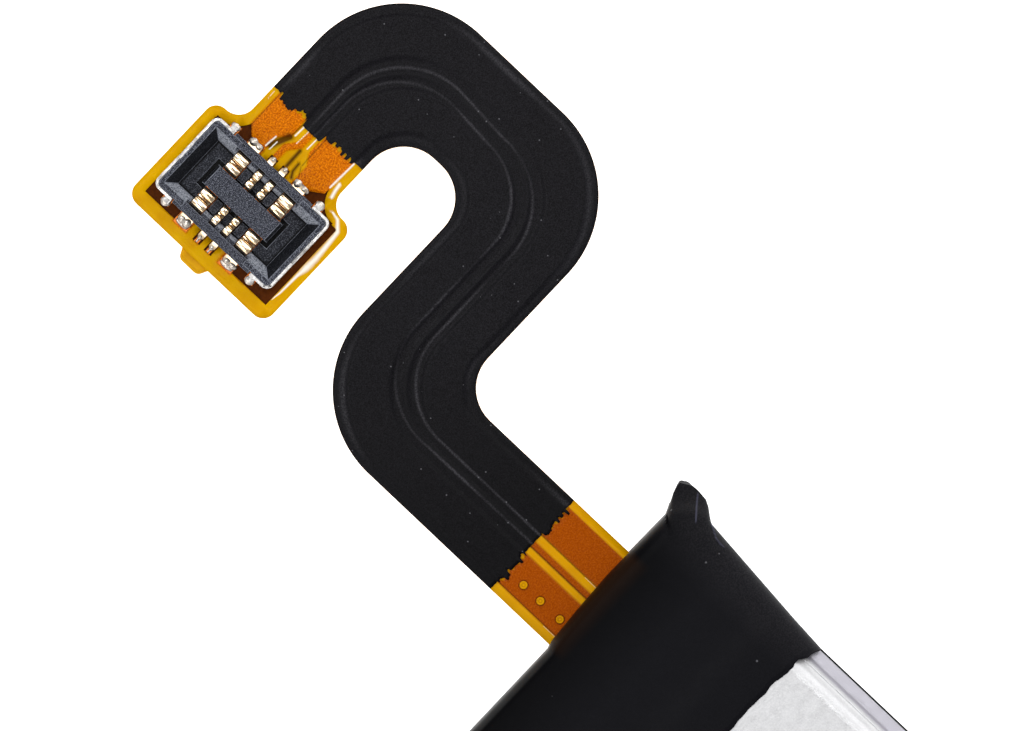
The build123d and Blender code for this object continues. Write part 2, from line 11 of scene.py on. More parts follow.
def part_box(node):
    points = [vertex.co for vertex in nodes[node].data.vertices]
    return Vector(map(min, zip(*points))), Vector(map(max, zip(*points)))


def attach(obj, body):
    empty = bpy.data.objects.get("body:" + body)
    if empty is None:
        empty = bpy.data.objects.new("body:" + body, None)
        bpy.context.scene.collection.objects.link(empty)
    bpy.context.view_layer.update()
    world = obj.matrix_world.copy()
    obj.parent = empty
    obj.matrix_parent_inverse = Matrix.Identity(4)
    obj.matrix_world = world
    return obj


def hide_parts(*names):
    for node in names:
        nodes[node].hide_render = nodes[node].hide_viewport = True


# Mobile phone battery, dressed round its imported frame. Sizes are in millimetres
# here, and each mesh is scaled to metres when it is made.
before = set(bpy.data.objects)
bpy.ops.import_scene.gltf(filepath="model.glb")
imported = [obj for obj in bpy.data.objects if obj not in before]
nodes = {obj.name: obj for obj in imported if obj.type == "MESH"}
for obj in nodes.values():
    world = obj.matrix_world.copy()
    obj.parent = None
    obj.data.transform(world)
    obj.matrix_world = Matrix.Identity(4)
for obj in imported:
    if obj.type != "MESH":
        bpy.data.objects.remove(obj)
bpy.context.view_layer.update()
MM = 0.001


def node_box(name):
    """The low and the high corner of a node's box."""
    low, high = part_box(name)
    return Vector(low) / MM, Vector(high) / MM


# Flexible circuit: the place of its middle line and the bends that it makes
half_tail = 2.0
tail_root = 3.0
tail_low = node_box("flex_base")[0]
tail_place = Vector((tail_low.x + half_tail, tail_low.y + tail_root, tail_low.z))
run_2_y = 9.855
run_3_x = 8.98
run_4_y = 17.08
outer_bend = 3.75
inner_bend = 1.45
coverlay_top = node_box("black_cover_film")[0].z
black_start = 2.6
black_end = 5.1

# Copper tracks, as distances to the right of the middle line
left_track = (-1.63, -0.37)
middle_track = (-0.05, 0.11)
right_track = (0.48, 1.68)


# Meshes, the tail's path and skins


def show(name, data):
    """A new object in the scene."""
    thing = bpy.data.objects.new(name, data)
    bpy.context.scene.collection.objects.link(thing)
    return thing


def add_piece(name, mesh):
    """A piece that rides on the battery."""
    piece = show(name, mesh)
    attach(piece, "root")
    return piece


def mesh_piece(name, points, faces, smooth=True):
    """A piece from points in millimetres."""
    mesh = bpy.data.meshes.new(name)
    mesh.from_pydata([Vector(p) * MM for p in points], [], faces)
    mesh.validate()
    mesh.polygons.foreach_set("use_smooth", [smooth] * len(mesh.polygons))
    return add_piece(name, mesh)


def tail_point(side, part, share, start=black_start, end=black_end):
    """Place on the tail: a run (even part) or a bend (odd part), and how far along it."""
    middle = (outer_bend + inner_bend) / 2
    change = (outer_bend - inner_bend) / (2 * half_tail)
    tight, wide = middle - change * side, middle + change * side
    near, far = run_2_y - side, run_4_y + side
    lane = run_3_x + side
    turn = share * math.pi / 2
    if part == 0:
        return side, start + share * (near - tight - start)
    if part == 1:
        return side + tight * (1 - math.cos(turn)), near - tight * (1 - math.sin(turn))
    if part == 2:
        return side + tight + share * (lane - wide - side - tight), near
    if part == 3:
        return lane - wide * (1 - math.sin(turn)), near + wide * (1 - math.cos(turn))
    if part == 4:
        return lane, near + wide + share * (far - near - 2 * wide)
    if part == 5:
        return lane - wide * (1 - math.cos(turn)), far - wide * (1 - math.sin(turn))
    return lane - wide + share * (end - lane + wide), far


def smooth_step(value, low, high):
    """0 below a range, 1 above it and a soft S between."""
    share = min(max((value - low) / (high - low), 0.0), 1.0)
    return share * share * (3 - 2 * share)


def rise_over(side, track, spread):
    """1 over a track and 0 beside it, with a soft slope at each edge."""
    low, high = track
    up = smooth_step(side, low - spread, low + spread)
    return up * (1 - smooth_step(side, high - spread, high + spread))


def merge(piece, distance=1e-4):
    """Joins points that lie on each other and turns every face outwards."""
    work = bmesh.new()
    work.from_mesh(piece.data)
    bmesh.ops.remove_doubles(work, verts=work.verts, dist=distance * MM)
    bmesh.ops.recalc_face_normals(work, faces=work.faces)
    work.to_mesh(piece.data)
    work.free()


def mark(piece, label, values):
    """Gives each point of a piece a value for its material; the points left over get 0."""
    values = list(values) + [0.0] * (len(piece.data.vertices) - len(values))
    piece.data.attributes.new(label, "FLOAT", "POINT").data.foreach_set("value", values)


def solidify(piece, thickness):
    """Gives a skin its wall, inwards from the skin."""
    wall = piece.modifiers.new("wall", "SOLIDIFY")
    wall.thickness = thickness * MM
    wall.offset = -1


def skin(rows, columns, closed=False):
    """Faces of a grid of points that is numbered row by row."""
    faces = []
    for row in range(rows - 1):
        here, above = row * columns, (row + 1) * columns
        for column in range(columns if closed else columns - 1):
            after = (column + 1) % columns
            faces.append((here + column, here + after, above + after, above + column))
    return faces


def shifted(faces, base):
    """Faces whose points come after others."""
    return [tuple(base + i for i in face) for face in faces]


def turned_over(faces):
    """Faces that look the other way."""
    return [tuple(reversed(face)) for face in faces]


def places(*spans):
    """Places along a line: start, end and step of each span, without the last end."""
    return [float(place) for span in spans for place in np.arange(*span)]


# Black film over the tail

film_thickness = 0.04
film_relief = 0.04  # how far it stands up over the tracks
relief_spread = 0.085
middle_relief = 0.8  # share of it over the thin middle track
film_columns = 160
film_wave = 0.004
brim_width = 0.05
brim_height = 0.35  # share of the thickness at the film's very edge
torn_depth = 0.14
tooth_width = 0.1
# The film stands back in a tongue over the middle of its second end
tongue = (-0.35, 0.46)
tongue_depth = 0.3
run_steps = (44, 36, 26, 36, 22, 36, 30)  # rows of points in each part of the tail

# Distances from the middle line of the two painted highlights along the film's ridges, at the ends
# of each part
sheen_ridges_at = [
    (0.4, 0.02),
    (0.4, -0.02),
    (0.25, -0.44),
    (0.25, -0.44),
    (0.05, -0.43),
    (0.2, -0.3),
    (0.22, -0.1),
    (0.22, -0.08),
]
sheen_width = 0.045
edge_sheen_at = 1.74
edge_sheen_width = 0.1


def painted_sheen(side, part, share):
    """How strongly a place of the black film gets a painted highlight: over two ridges and near
    its edges.
    """
    before, after = sheen_ridges_at[part], sheen_ridges_at[part + 1]
    ridges = [a + (b - a) * share for a, b in zip(before, after)]
    lightened = [math.exp(-(((side - ridge) / sheen_width) ** 2)) for ridge in ridges]
    ridge_sheen_strength = 0.8 + 0.9 * noise.noise(Vector((part * 2 + share * 2.0, side, 4.0)))
    edge_sheen_strength = 0.35 + 1.1 * noise.noise(Vector((part * 1.2 + share * 1.2, side, 9.0)))
    edge = math.exp(-(((abs(side) - edge_sheen_at) / edge_sheen_width) ** 2))
    return max(max(lightened) * ridge_sheen_strength, edge * edge_sheen_strength, 0.0)


def torn_edge(side, seed):
    """How far the film's torn end stands back at a distance from the middle line."""
    depth = 0.0
    for track in (left_track, right_track):
        depth += rise_over(side, track, 0.03)
    steps = noise.cell(Vector((side / tooth_width, seed, 0))) - 0.5
    ragged = 1.3 * steps + 0.7 * noise.noise(Vector((side * 5.5, seed, 0)))
    return torn_depth * ragged * depth + 0.02 * noise.noise(Vector((side * 9, seed, 7)))


def make_black_film():
    edge = [-half_tail, -half_tail + 0.015, -half_tail + 0.05]
    sides = edge + list(np.linspace(-1.9, 1.9, film_columns)) + [-s for s in reversed(edge)]
    stations = [(0, 0.0)]
    for part, steps in enumerate(run_steps):
        stations += [(part, (step + 1) / steps) for step in range(steps)]
    points, lightened, along = [], [], []
    for part, share in stations:
        for side in sides:
            # Strength of the painted highlight over the ridges and near the edges, kept for the
            # material
            lightened.append(painted_sheen(side, part, share))
            along.append((part + share) / len(run_steps))
            start = black_start + torn_edge(side, 1.0)
            end = black_end + torn_edge(side, 5.0)
            if tongue[0] < side < tongue[1]:
                end -= tongue_depth * rise_over(side, tongue, 0.04)
            x, y = tail_point(side, part, share, start, end)
            over = max(rise_over(side, t, relief_spread) for t in (left_track, right_track))
            over = max(over, middle_relief * rise_over(side, middle_track, relief_spread))
            brim = smooth_step(half_tail - abs(side), 0.0, brim_width)
            brim = brim_height + (1 - brim_height) * brim
            wave = film_wave * noise.noise(Vector((x, y, 0)) * 0.9)
            z = film_thickness * brim + film_relief * over + wave
            points.append((tail_place.x + x, tail_place.y + y, coverlay_top + z))
    rows, columns = len(stations), len(sides)
    faces = turned_over(skin(rows, columns))
    ring = list(range(columns))
    ring += [row * columns + columns - 1 for row in range(1, rows)]
    ring += [(rows - 1) * columns + column for column in range(columns - 2, -1, -1)]
    ring += [row * columns for row in range(rows - 2, 0, -1)]
    foot = len(points)
    points += [(points[i][0], points[i][1], coverlay_top) for i in ring]
    count = len(ring)
    for i in range(count):
        j = (i + 1) % count
        faces.append((ring[i], foot + i, foot + j, ring[j]))
    faces += shifted(skin(rows, columns), len(points))
    points += [(x, y, coverlay_top) for x, y, _ in points[: rows * columns]]
    film = mesh_piece("black_film", points, faces)
    mark(film, "painted_sheen", lightened)
    mark(film, "along", along)
    merge(film)
    return film


# Amber cover film, with its creases and holes

base_top = tail_place.z + 0.08
crease_height = 0.012
fine_step = 0.045
coarse_step = 6  # fine steps
head_start = 13.8
relief_reaches = (0.012, 0.035, 0.06)  # over which the film slopes down beside the copper


def disc(radius, count):
    """Points round a circle."""
    turns = [2 * math.pi * i / count for i in range(count)]
    return [(radius * math.cos(turn), radius * math.sin(turn)) for turn in turns]


def near_line(x, y, line):
    """Distance to a line of points, signed by the side, and the share along it."""
    best = (1e9, 0.0)
    total = len(line) - 1
    for i, (a, b) in enumerate(zip(line, line[1:])):
        along = Vector(b) - Vector(a)
        share = (Vector((x, y)) - Vector(a)).dot(along) / along.length_squared
        share = min(max(share, 0.0), 1.0)
        gap = Vector((x, y)) - (Vector(a) + along * share)
        side = 1 if along.x * gap.y - along.y * gap.x > 0 else -1
        if gap.length < abs(best[0]):
            best = (gap.length * side, (i + share) / total)
    return best


# Creases where the cover film is drawn tight, given painted highlights: line, widths at its ends,
# strength
bright_creases = [
    ([(-0.05, 14.33), (0.3, 14.28), (1.1, 14.26)], (0.012, 0.06), 1.0),
    ([(1.1, 14.26), (1.5, 14.22)], (0.06, 0.135), 1.0),
    ([(1.5, 14.22), (1.9, 14.2), (2.3, 14.22)], (0.135, 0.1), 1.0),
    ([(2.3, 14.22), (3.05, 14.28), (3.35, 14.55), (3.42, 14.85)], (0.1, 0.045), 1.0),
    ([(3.74, 15.2), (4.0, 15.27), (4.25, 15.3)], (0.07, 0.07), 1.0),
    ([(3.5, 17.94), (3.95, 17.9)], (0.035, 0.035), 1.0),
    ([(3.5, 17.77), (3.85, 17.75)], (0.025, 0.025), 1.0),
    ([(4.4, 17.46), (5.1, 17.42)], (0.035, 0.035), 1.0),
    ([(4.25, 17.25), (4.8, 17.23)], (0.02, 0.02), 1.0),
    ([(4.35, 16.87), (4.85, 16.86)], (0.025, 0.025), 1.0),
    ([(3.95, 15.46), (5.05, 15.42)], (0.04, 0.04), 1.0),
    ([(4.7, 18.95), (5.0, 18.96)], (0.02, 0.02), 0.7),
    ([(0.4, -0.2), (0.4, 0.6)], (0.014, 0.014), 0.6),
    ([(-1.69, -0.2), (-1.69, 0.5)], (0.014, 0.014), 0.6),
]
# Grooves beside the copper, where the film lies in shade
dark_grooves = [
    ([(-0.08, -0.3), (-0.08, 2.7)], (0.026, 0.026), 1.0),
    ([(0.44, -0.3), (0.44, 2.7)], (0.02, 0.02), 0.9),
    ([(-1.65, -0.3), (-1.65, 2.7)], (0.018, 0.018), 0.9),
    ([(3.25, 16.98), (4.15, 17.0)], (0.06, 0.06), 1.3),
    ([(3.62, 17.84), (3.9, 17.72), (4.25, 17.56)], (0.11, 0.11), 1.5),
    ([(3.3, 16.6), (3.5, 16.72), (3.8, 16.74)], (0.05, 0.05), 1.1),
    ([(3.35, 17.88), (3.36, 18.5), (3.6, 18.76), (5.2, 18.76)], (0.018, 0.018), 0.8),
    ([(4.3, 17.55), (5.2, 17.5)], (0.025, 0.025), 0.9),
    ([(3.35, 15.75), (3.35, 16.35), (3.78, 16.62), (5.2, 16.64)], (0.018, 0.018), 0.8),
]
via_places = [(-1.16, 0.26), (-1.16, 1.14), (-1.16, 1.9)]
via_center = 0.1
via_ring = 0.155
via_core = 0.055
for via_x, via_y in via_places:
    for reach, width, strength in ((via_ring, 0.02, 1.0), (via_core, 0.014, 0.45)):
        rim = [(via_x + dx, via_y + dy) for dx, dy in disc(reach, 12)]
        dark_grooves.append((rim + rim[:1], (width, width), strength))


def mark_at(x, y, marks):
    """How strongly a place of the cover film is marked by a list of lines."""
    strongest = 0.0
    for line, (first, last), strength in marks:
        gap, share = near_line(x - tail_place.x, y - tail_place.y, line)
        width = first + (last - first) * share
        strongest = max(strongest, strength * math.exp(-((gap / width) ** 2)))
    return strongest


def points_along(marks, step=0.07):
    """Rows of points beside each line, close enough to draw it."""
    spots = []
    for line, widths, _ in marks:
        width = sum(widths) / 2
        for a, b in zip(line, line[1:]):
            a, b = Vector(a), Vector(b)
            out = Vector((a.y - b.y, b.x - a.x)).normalized()
            count = max(int((b - a).length / step), 1)
            for i in range(count + 1):
                for reach in (-1.8, -0.8, 0.0, 0.8, 1.8):
                    spots.append(a.lerp(b, i / count) + out * reach * width + tail_place.xy)
    return spots


def ground_of(name):
    """The node's mesh in millimetres, to ask how high it is at a place."""
    node = nodes[name]
    corners = [node.matrix_world @ v.co / MM for v in node.data.vertices]
    return BVHTree.FromPolygons(corners, [tuple(p.vertices) for p in node.data.polygons])


def make_cover_film():
    ground = ground_of("coverlay")
    low, high = node_box("coverlay")
    relief_level = (coverlay_top + high.z) / 2 - 0.012
    sky, cellar = Vector((0, 0, -1)), Vector((0, 0, 1))

    def top_at(x, y):
        return ground.ray_cast(Vector((x, y, high.z + 1)), sky)[0]

    def copper_share(x, y, radius, count):
        hits = [top_at(x + dx, y + dy) for dx, dy in disc(radius, count)]
        hits = [hit.z > relief_level for hit in hits if hit is not None]
        return sum(hits) / len(hits) if hits else 0.0

    node = nodes["coverlay"]
    corners, known = [], {}

    def corner_number(v):
        key = (round(v.x, 4), round(v.y, 4))
        if key not in known:
            known[key] = len(corners)
            corners.append(Vector(key))
        return known[key]

    seen = {}
    for face in node.data.polygons:
        if face.normal.z > 0.9:
            ids = [corner_number(node.data.vertices[i].co / MM) for i in face.vertices]
            for a, b in zip(ids, ids[1:] + ids[:1]):
                key = (min(a, b), max(a, b))
                seen[key] = seen.get(key, 0) + 1
    edges = [key for key, times in seen.items() if times == 1]
    exit_zone = (low.x, low.y, tail_place.x + 2.1, tail_place.y + black_start + 0.3)
    head_zone = (low.x, tail_place.y + head_start, tail_place.x + black_end + 0.4, high.y)
    for left, front, right, rear in (exit_zone, head_zone):
        for i in range(int((right - left) / fine_step)):
            for j in range(int((rear - front) / fine_step)):
                x, y = left + i * fine_step, front + j * fine_step
                if top_at(x, y) is None:
                    continue
                coarse = i % coarse_step == 0 and j % coarse_step == 0
                if coarse or 0.0 < copper_share(x, y, 0.1, 6) < 1.0:
                    corners.append(Vector((x, y)))
    marks = points_along(bright_creases + dark_grooves)
    for place in via_places:
        for radius in (0.015, 0.035, 0.055, 0.075, 0.095, 0.12):
            marks += [tail_place.xy + Vector(place) + Vector(step) for step in disc(radius, 12)]
    for place in marks:
        ring = [top_at(place.x + dx, place.y + dy) for dx, dy in disc(0.03, 6)]
        if None not in ring:
            corners.append(place)
    flat, _, triangles, *_ = geometry.delaunay_2d_cdt(corners, edges, [], 0, 1e-4)
    kept = []
    for triangle in triangles:
        middle = sum((flat[i] for i in triangle), Vector((0, 0))) / 3
        if top_at(middle.x, middle.y) is not None:
            kept.append(tuple(triangle))
    points, copper, bright, dark = [], [], [], []
    for v in flat:
        share = sum(copper_share(v.x, v.y, reach, 10) for reach in relief_reaches) / 3
        vias = [(v.xy - tail_place.xy - Vector(place)).length for place in via_places]
        copper.append(copper_share(v.x, v.y, 0.018, 8) if min(vias) > via_center else 0.0)
        bright.append(mark_at(v.x, v.y, bright_creases))
        dark.append(mark_at(v.x, v.y, dark_grooves))
        points.append((v.x, v.y, coverlay_top + film_relief * share + crease_height * bright[-1]))
    foot = len(points)
    for v in flat:
        hit = ground.ray_cast(Vector((v.x, v.y, low.z - 1)), cellar)[0]
        points.append((v.x, v.y, hit.z if hit is not None else low.z))
    sides = {}
    for a, b, c in kept:
        for edge in ((a, b), (b, c), (c, a)):
            sides[edge] = True
    faces = kept + shifted(turned_over(kept), foot)
    for a, b in sides:
        if (b, a) not in sides:
            faces.append((b, a, foot + a, foot + b))
    film = mesh_piece("cover_film", points, faces, smooth=False)
    mark(film, "copper below", copper * 2)
    mark(film, "bright crease", bright * 2)
    mark(film, "dark groove", dark * 2)
    merge(film)
    for face in film.data.polygons:
        face.use_smooth = face.normal.z > 0.3
    return film


# End tape

tape_low, tape_high = node_box("end_tape")
tape_start = tape_low.y
tape_end = tail_place.y
body_half = 21.0
tape_top = tape_high.z
pocket_end = 35.5
end_height = 3.6
end_flare = 0.62
ear_middle = 2.85
ear_profile = [
    (-0.66, 0.0),
    (-0.6, 0.16),
    (-0.55, 0.27),
    (-0.47, 0.6),
    (-0.33, 0.74),
    (-0.25, 0.77),
    (-0.09, 0.64),
    (0.13, 0.54),
    (0.34, 0.61),
    (0.59, 0.61),
    (0.67, 0.45),
    (0.7, 0.2),
    (0.74, 0.0),
]
ear_root = -1.35
ear_pinch = 0.84  # how far the ear's two layers are pressed together
rib_middle = 0.26
rib_fall = 0.35  # how far the ear is lower beside its rib
# Rounding of the taped end's edges, at its back and at its top
side_rounding = (0.3, 0.84)
end_rounding = (0.22, 0.32)
rounding_start = 0.5
cut_wave = 0.03
dent_depth = 0.012
# From these places on, the tape's grid is fine enough for the ear and its folds
ear_columns = 20.2
ear_rows = 38.9
tape_thickness = 0.05


def between(pairs, value):
    """Value read off a line through pairs of numbers."""
    return float(np.interp(value, [a for a, _ in pairs], [b for _, b in pairs]))


def tape_height(y):
    """Height of the tape's top along the battery, with a soft bend at the pocket."""
    slope = (tape_top - end_height) / (tape_end - pocket_end)
    past = y - pocket_end
    bend = 0.5
    if past > bend:
        return tape_top - slope * past
    if past < -bend:
        return tape_top
    return tape_top - slope * (past + bend) ** 2 / (4 * bend)


# Folds of the tape near the ear, from the middle of the tail: points, height, width
tape_folds = [
    ([(5.0, -0.12), (4.6, -0.42), (4.15, -0.8)], 0.05, 0.03),
    ([(4.62, -1.0), (4.45, -1.3), (4.28, -1.6), (4.24, -1.8), (4.25, -2.05)], 0.05, 0.03),
]
# Cut edge of the tape on the pouch, as its place beyond the plain box's edge
tape_cut = [
    (-38.6, 0.05),
    (0.0, 0.1),
    (1.0, 0.13),
    (1.8, 0.1),
    (2.1, 0.13),
    (2.7, 0.03),
    (3.25, 0.05),
    (3.5, -0.1),
    (3.85, -0.18),
    (3.97, -0.25),
]


def place_on_tape(x, y, z):
    """A point of the taped end, from its place on a plain box."""
    up = smooth_step(z, rounding_start, tape_top)
    radius = side_rounding[0] + (side_rounding[1] - side_rounding[0]) * up
    deep = end_rounding[0] + (end_rounding[1] - end_rounding[0]) * up
    inner_x = min(max(x, radius - body_half), body_half - radius)
    inner_z = min(max(z, radius), tape_top - radius)
    inner = Vector((inner_x, min(y, tape_end - deep), inner_z))
    out = Vector((x, y, z)) - inner
    out = Vector((out.x / radius, out.y / deep, out.z / radius))
    if out.length > 1:
        out.normalize()
    p = inner + Vector((out.x * radius, out.y * deep, out.z * radius))
    share = (p.y - tape_start) / (tape_end - tape_start)
    p.x *= 1 + end_flare / body_half * share
    p.z *= tape_height(p.y) / tape_top
    # The pinched ear at the corner beside the tail
    corner = Vector((body_half + end_flare, tape_end))
    dx, dy = p.x - corner.x, p.y - corner.y
    a, b = (dx + dy) / math.sqrt(2), (dx - dy) / math.sqrt(2)
    edge = -abs(b)
    pull = smooth_step(a, ear_root, edge - 0.12) if edge > ear_root else 0.0
    reach = between(ear_profile, b) * pull
    p.x += reach / math.sqrt(2)
    p.y += reach / math.sqrt(2)
    if reach > 0:
        pinch = smooth_step(a + reach, -0.85, 0.35) * smooth_step(reach, 0.0, 0.45)
        fall = rib_fall * smooth_step(abs(b - rib_middle), 0.05, 0.75)
        p.z = ear_middle + (p.z - ear_middle) * (1 - ear_pinch * pinch) * (1 - fall * pull)
    return p


# End edge of the tape beside and over the tail, as its place beyond the plain box's end
tape_end_edge = [
    (-6, -0.12),
    (-2.1, -0.12),
    (-1.9, -0.02),
    (-0.4, 0.08),
    (1.0, 0.14),
    (3.8, 0.1),
    (4.4, 0.0),
]


def fold_at(x, y, line, width):
    """Height of a fold at a place: steep on one side, and fading at its ends."""
    gap, share = near_line(x, y, line)
    fade = smooth_step(share, -0.05, 0.15) * (1 - smooth_step(share, 0.85, 1.05))
    return math.exp(-((gap / width) ** 2) * (0.35 if gap > 0 else 1.0)) * (0.2 + 0.8 * fade)


def dress_tape(p):
    """Folds, a wavy cut edge and soft unevenness of the film."""
    x, y = p.x - tail_place.x, p.y - tail_place.y
    cut = 1 - smooth_step(p.y, tape_start, tape_start + 1.2)
    wave = noise.noise(Vector((p.x * 2.6, 2.0, 0))) + noise.noise(Vector((p.x * 7.0, 6.0, 0)))
    p.y += cut * (cut_wave * wave + between(tape_cut, x))
    lap = smooth_step(p.y, tape_end - 0.5, tape_end - 0.1)
    p.y += lap * between(tape_end_edge, x)
    if p.z > 1.0:
        dent = dent_depth * (noise.noise(Vector((p.x * 0.3, p.y * 0.4, 1.0))) - 0.6)
        p.z += dent * smooth_step(p.y, pocket_end, pocket_end + 1.5)
        for line, height, width in tape_folds:
            p.z += height * fold_at(x, y, line, width)
        p.z = min(p.z, tape_top - 0.0005)
    return p


def make_end_tape():
    exit_left, exit_right = tail_place.x - half_tail - 0.03, tail_place.x + half_tail + 0.03
    xs = places((-body_half, -19.0, 0.22), (-19.0, 14.4, 0.7)) + [14.4, 14.7, exit_left]
    xs += places((exit_left + 0.25, exit_right - 0.1, 0.25)) + [exit_right]
    xs += places((exit_right + 0.06, ear_columns, 0.055), (ear_columns, body_half, 0.024))
    ys = places((tape_start, 38.0, 0.2), (38.0, ear_rows, 0.06), (ear_rows, tape_end, 0.028))
    xs, ys = xs + [body_half], ys + [tape_end]
    stretched = tape_top / end_height
    exit_low, exit_high = (tail_place.z - 0.04) * stretched, (tail_place.z + 0.24) * stretched
    zs = list(np.linspace(0, exit_low, 12))
    zs += [exit_high] + list(np.linspace(exit_high, tape_top, 16))[1:]
    points, faces = [], []

    def side(first, second, place):
        """One side of the box as a grid of points."""
        base = len(points)
        for u in first:
            for v in second:
                points.append(tuple(dress_tape(place_on_tape(*place(u, v)))))
        return shifted(skin(len(first), len(second)), base)

    faces += side(ys, xs, lambda y, x: (x, y, tape_top))
    faces += side(ys, xs, lambda y, x: (x, y, 0.0))
    faces += side(ys, zs, lambda y, z: (body_half, y, z))
    faces += side(ys, zs, lambda y, z: (-body_half, y, z))
    end = side(zs, xs, lambda z, x: (x, tape_end, z))
    start = (zs.index(exit_high) - 1) * (len(xs) - 1)
    way_out = range(start + xs.index(exit_left), start + xs.index(exit_right))
    faces += [face for i, face in enumerate(end) if i not in way_out]
    tape = mesh_piece("end_tape_film", points, faces)
    merge(tape, 2e-3)
    # How strongly each point gets the painted highlight of a fold, for the material
    folds = []
    for corner in tape.data.vertices:
        x, y, z = corner.co / MM - Vector((tail_place.x, tail_place.y, 0))
        near = x > 3.5 and y > -2.6 and z > 1.0
        fold_highlights = [fold_at(x, y, line, width) for line, _, width in tape_folds] if near else [0.0]
        folds.append(max(fold_highlights))
    mark(tape, "fold", folds)
    solidify(tape, tape_thickness)
    return tape


# Folds along the pouch's sides

fold_start = 20.34
fold_root = 20.6
fold_edge = 20.93
fold_thickness = 0.02
fold_steps = 15
fold_margin = 0.6  # from the pouch's end, and under the tape


def make_side_folds():
    """The laminate's soft turn from the pocket's side onto the folded seal."""
    ground = ground_of("pouch_cell")
    low, high = node_box("pouch_cell")
    middle_y = (low.y + tape_start) / 2

    def height_at(x):
        return ground.ray_cast(Vector((x, middle_y, high.z + 1)), Vector((0, 0, -1)))[0].z

    seal_top = height_at(fold_edge) + fold_thickness + 0.005
    shoulder = height_at(fold_start) - 0.005
    slope = (height_at(fold_start) - height_at(fold_start - 0.06)) / 0.06
    reach = fold_root - fold_start
    anchors = (
        (fold_start, shoulder),
        (fold_start + reach * 0.3, shoulder + slope * reach * 0.3),
        (fold_start + reach * 0.45, seal_top),
        (fold_root, seal_top),
    )
    anchors = [Vector((x, z, 0)) for x, z in anchors]
    section = [(p.x, p.y) for p in geometry.interpolate_bezier(*anchors, fold_steps)]
    section += [(fold_edge - 0.03, seal_top), (fold_edge, seal_top - fold_thickness)]
    start, end = low.y + fold_margin, tape_start + fold_margin
    rows = places((start, end, 1.0)) + [end]
    points, faces = [], []
    for turn in (1, -1):
        base = len(points)
        points += [(turn * x, y, z) for y in rows for x, z in section]
        grid = shifted(skin(len(rows), len(section)), base)
        faces += turned_over(grid) if turn > 0 else grid
    folds = mesh_piece("side_folds", points, faces)
    solidify(folds, fold_thickness)
    return folds


# Pieces that repeat, by geometry nodes

contacts = [f"power_contact_{side}_{n}" for side in ("left", "right") for n in (1, 4)]
contacts += [f"signal_contact_{side}_{n}" for side in ("left", "right") for n in (2, 3)]


def grow(name, tree, points, sizes, settings, finish):
    """Runs a geometry tree over points with a size each, and keeps its result as a mesh."""
    seed = bpy.data.meshes.new(name + " points")
    seed.from_pydata([Vector(p) * MM for p in points], [], [])
    scales = seed.attributes.new("piece size", "FLOAT_VECTOR", "POINT")
    scales.data.foreach_set("vector", [value * MM for size in sizes for value in size])
    host = show(name + " points", seed)
    modifier = host.modifiers.new("grow", "NODES")
    modifier.node_group = tree
    for item in tree.interface.items_tree:
        if item.item_type == "SOCKET" and item.in_out == "INPUT" and item.name in settings:
            modifier[item.identifier] = settings[item.name]
    graph = bpy.context.evaluated_depsgraph_get()
    mesh = bpy.data.meshes.new_from_object(host.evaluated_get(graph), depsgraph=graph)
    mesh.name = name
    bpy.data.objects.remove(host)
    mesh.materials.clear()
    mesh.materials.append(finish)
    return add_piece(name, mesh)


def new_tree(name, kind, inputs, output, output_kind="Float"):
    """An empty node tree with its named inputs and its output."""
    tree = bpy.data.node_groups.new(name, kind)
    for label, value, *socket_kind in inputs:
        socket_kind = "NodeSocket" + (socket_kind[0] if socket_kind else "Float")
        socket = tree.interface.new_socket(label, in_out="INPUT", socket_type=socket_kind)
        if value is not None:
            socket.default_value = value
    output_kind = "NodeSocket" + output_kind
    tree.interface.new_socket(output, in_out="OUTPUT", socket_type=output_kind)
    return tree, tree.nodes.new("NodeGroupInput"), tree.nodes.new("NodeGroupOutput")


def geometry_tree(name, inputs):
    inputs = [("Geometry", None, "Geometry")] + inputs
    return new_tree(name, "GeometryNodeTree", inputs, "Geometry", "Geometry")


def join(tree, value, socket):
    """Feeds an input with a socket or a plain value."""
    if isinstance(value, bpy.types.NodeSocket):
        tree.links.new(value, socket)
    else:
        socket.default_value = value


def put(tree, kind, links=None, **settings):
    """Adds a node. links gives each input, by name or number, a socket or a value."""
    node = tree.nodes.new(kind)
    for label, value in settings.items():
        setattr(node, label, value)
    for label, value in (links or {}).items():
        join(tree, value, node.inputs[label])
    return node


def reckon(tree, kind, *values):
    """The result of one step of arithmetic on numbers and sockets."""
    return put(tree, "ShaderNodeMath", dict(enumerate(values)), operation=kind).outputs[0]


def copies(tree, given, shape):
    """Copies of a shape on the points, each stretched to its own size and made real."""
    links = {"Name": "piece size"}
    size = put(tree, "GeometryNodeInputNamedAttribute", links, data_type="FLOAT_VECTOR")
    size = size.outputs["Attribute"]
    links = {"Points": given.outputs["Geometry"], "Instance": shape, "Scale": size}
    rows = put(tree, "GeometryNodeInstanceOnPoints", links)
    return put(tree, "GeometryNodeRealizeInstances", {"Geometry": rows.outputs[0]}).outputs[0]


def end_tree(tree, shape, finish, result):
    """Ends a tree in a smooth shape with its material."""
    smooth = put(tree, "GeometryNodeSetShadeSmooth", {"Geometry": shape})
    links = {"Geometry": smooth.outputs[0], "Material": finish}
    dressed = put(tree, "GeometryNodeSetMaterial", links)
    tree.links.new(dressed.outputs[0], result.inputs["Geometry"])
    return tree


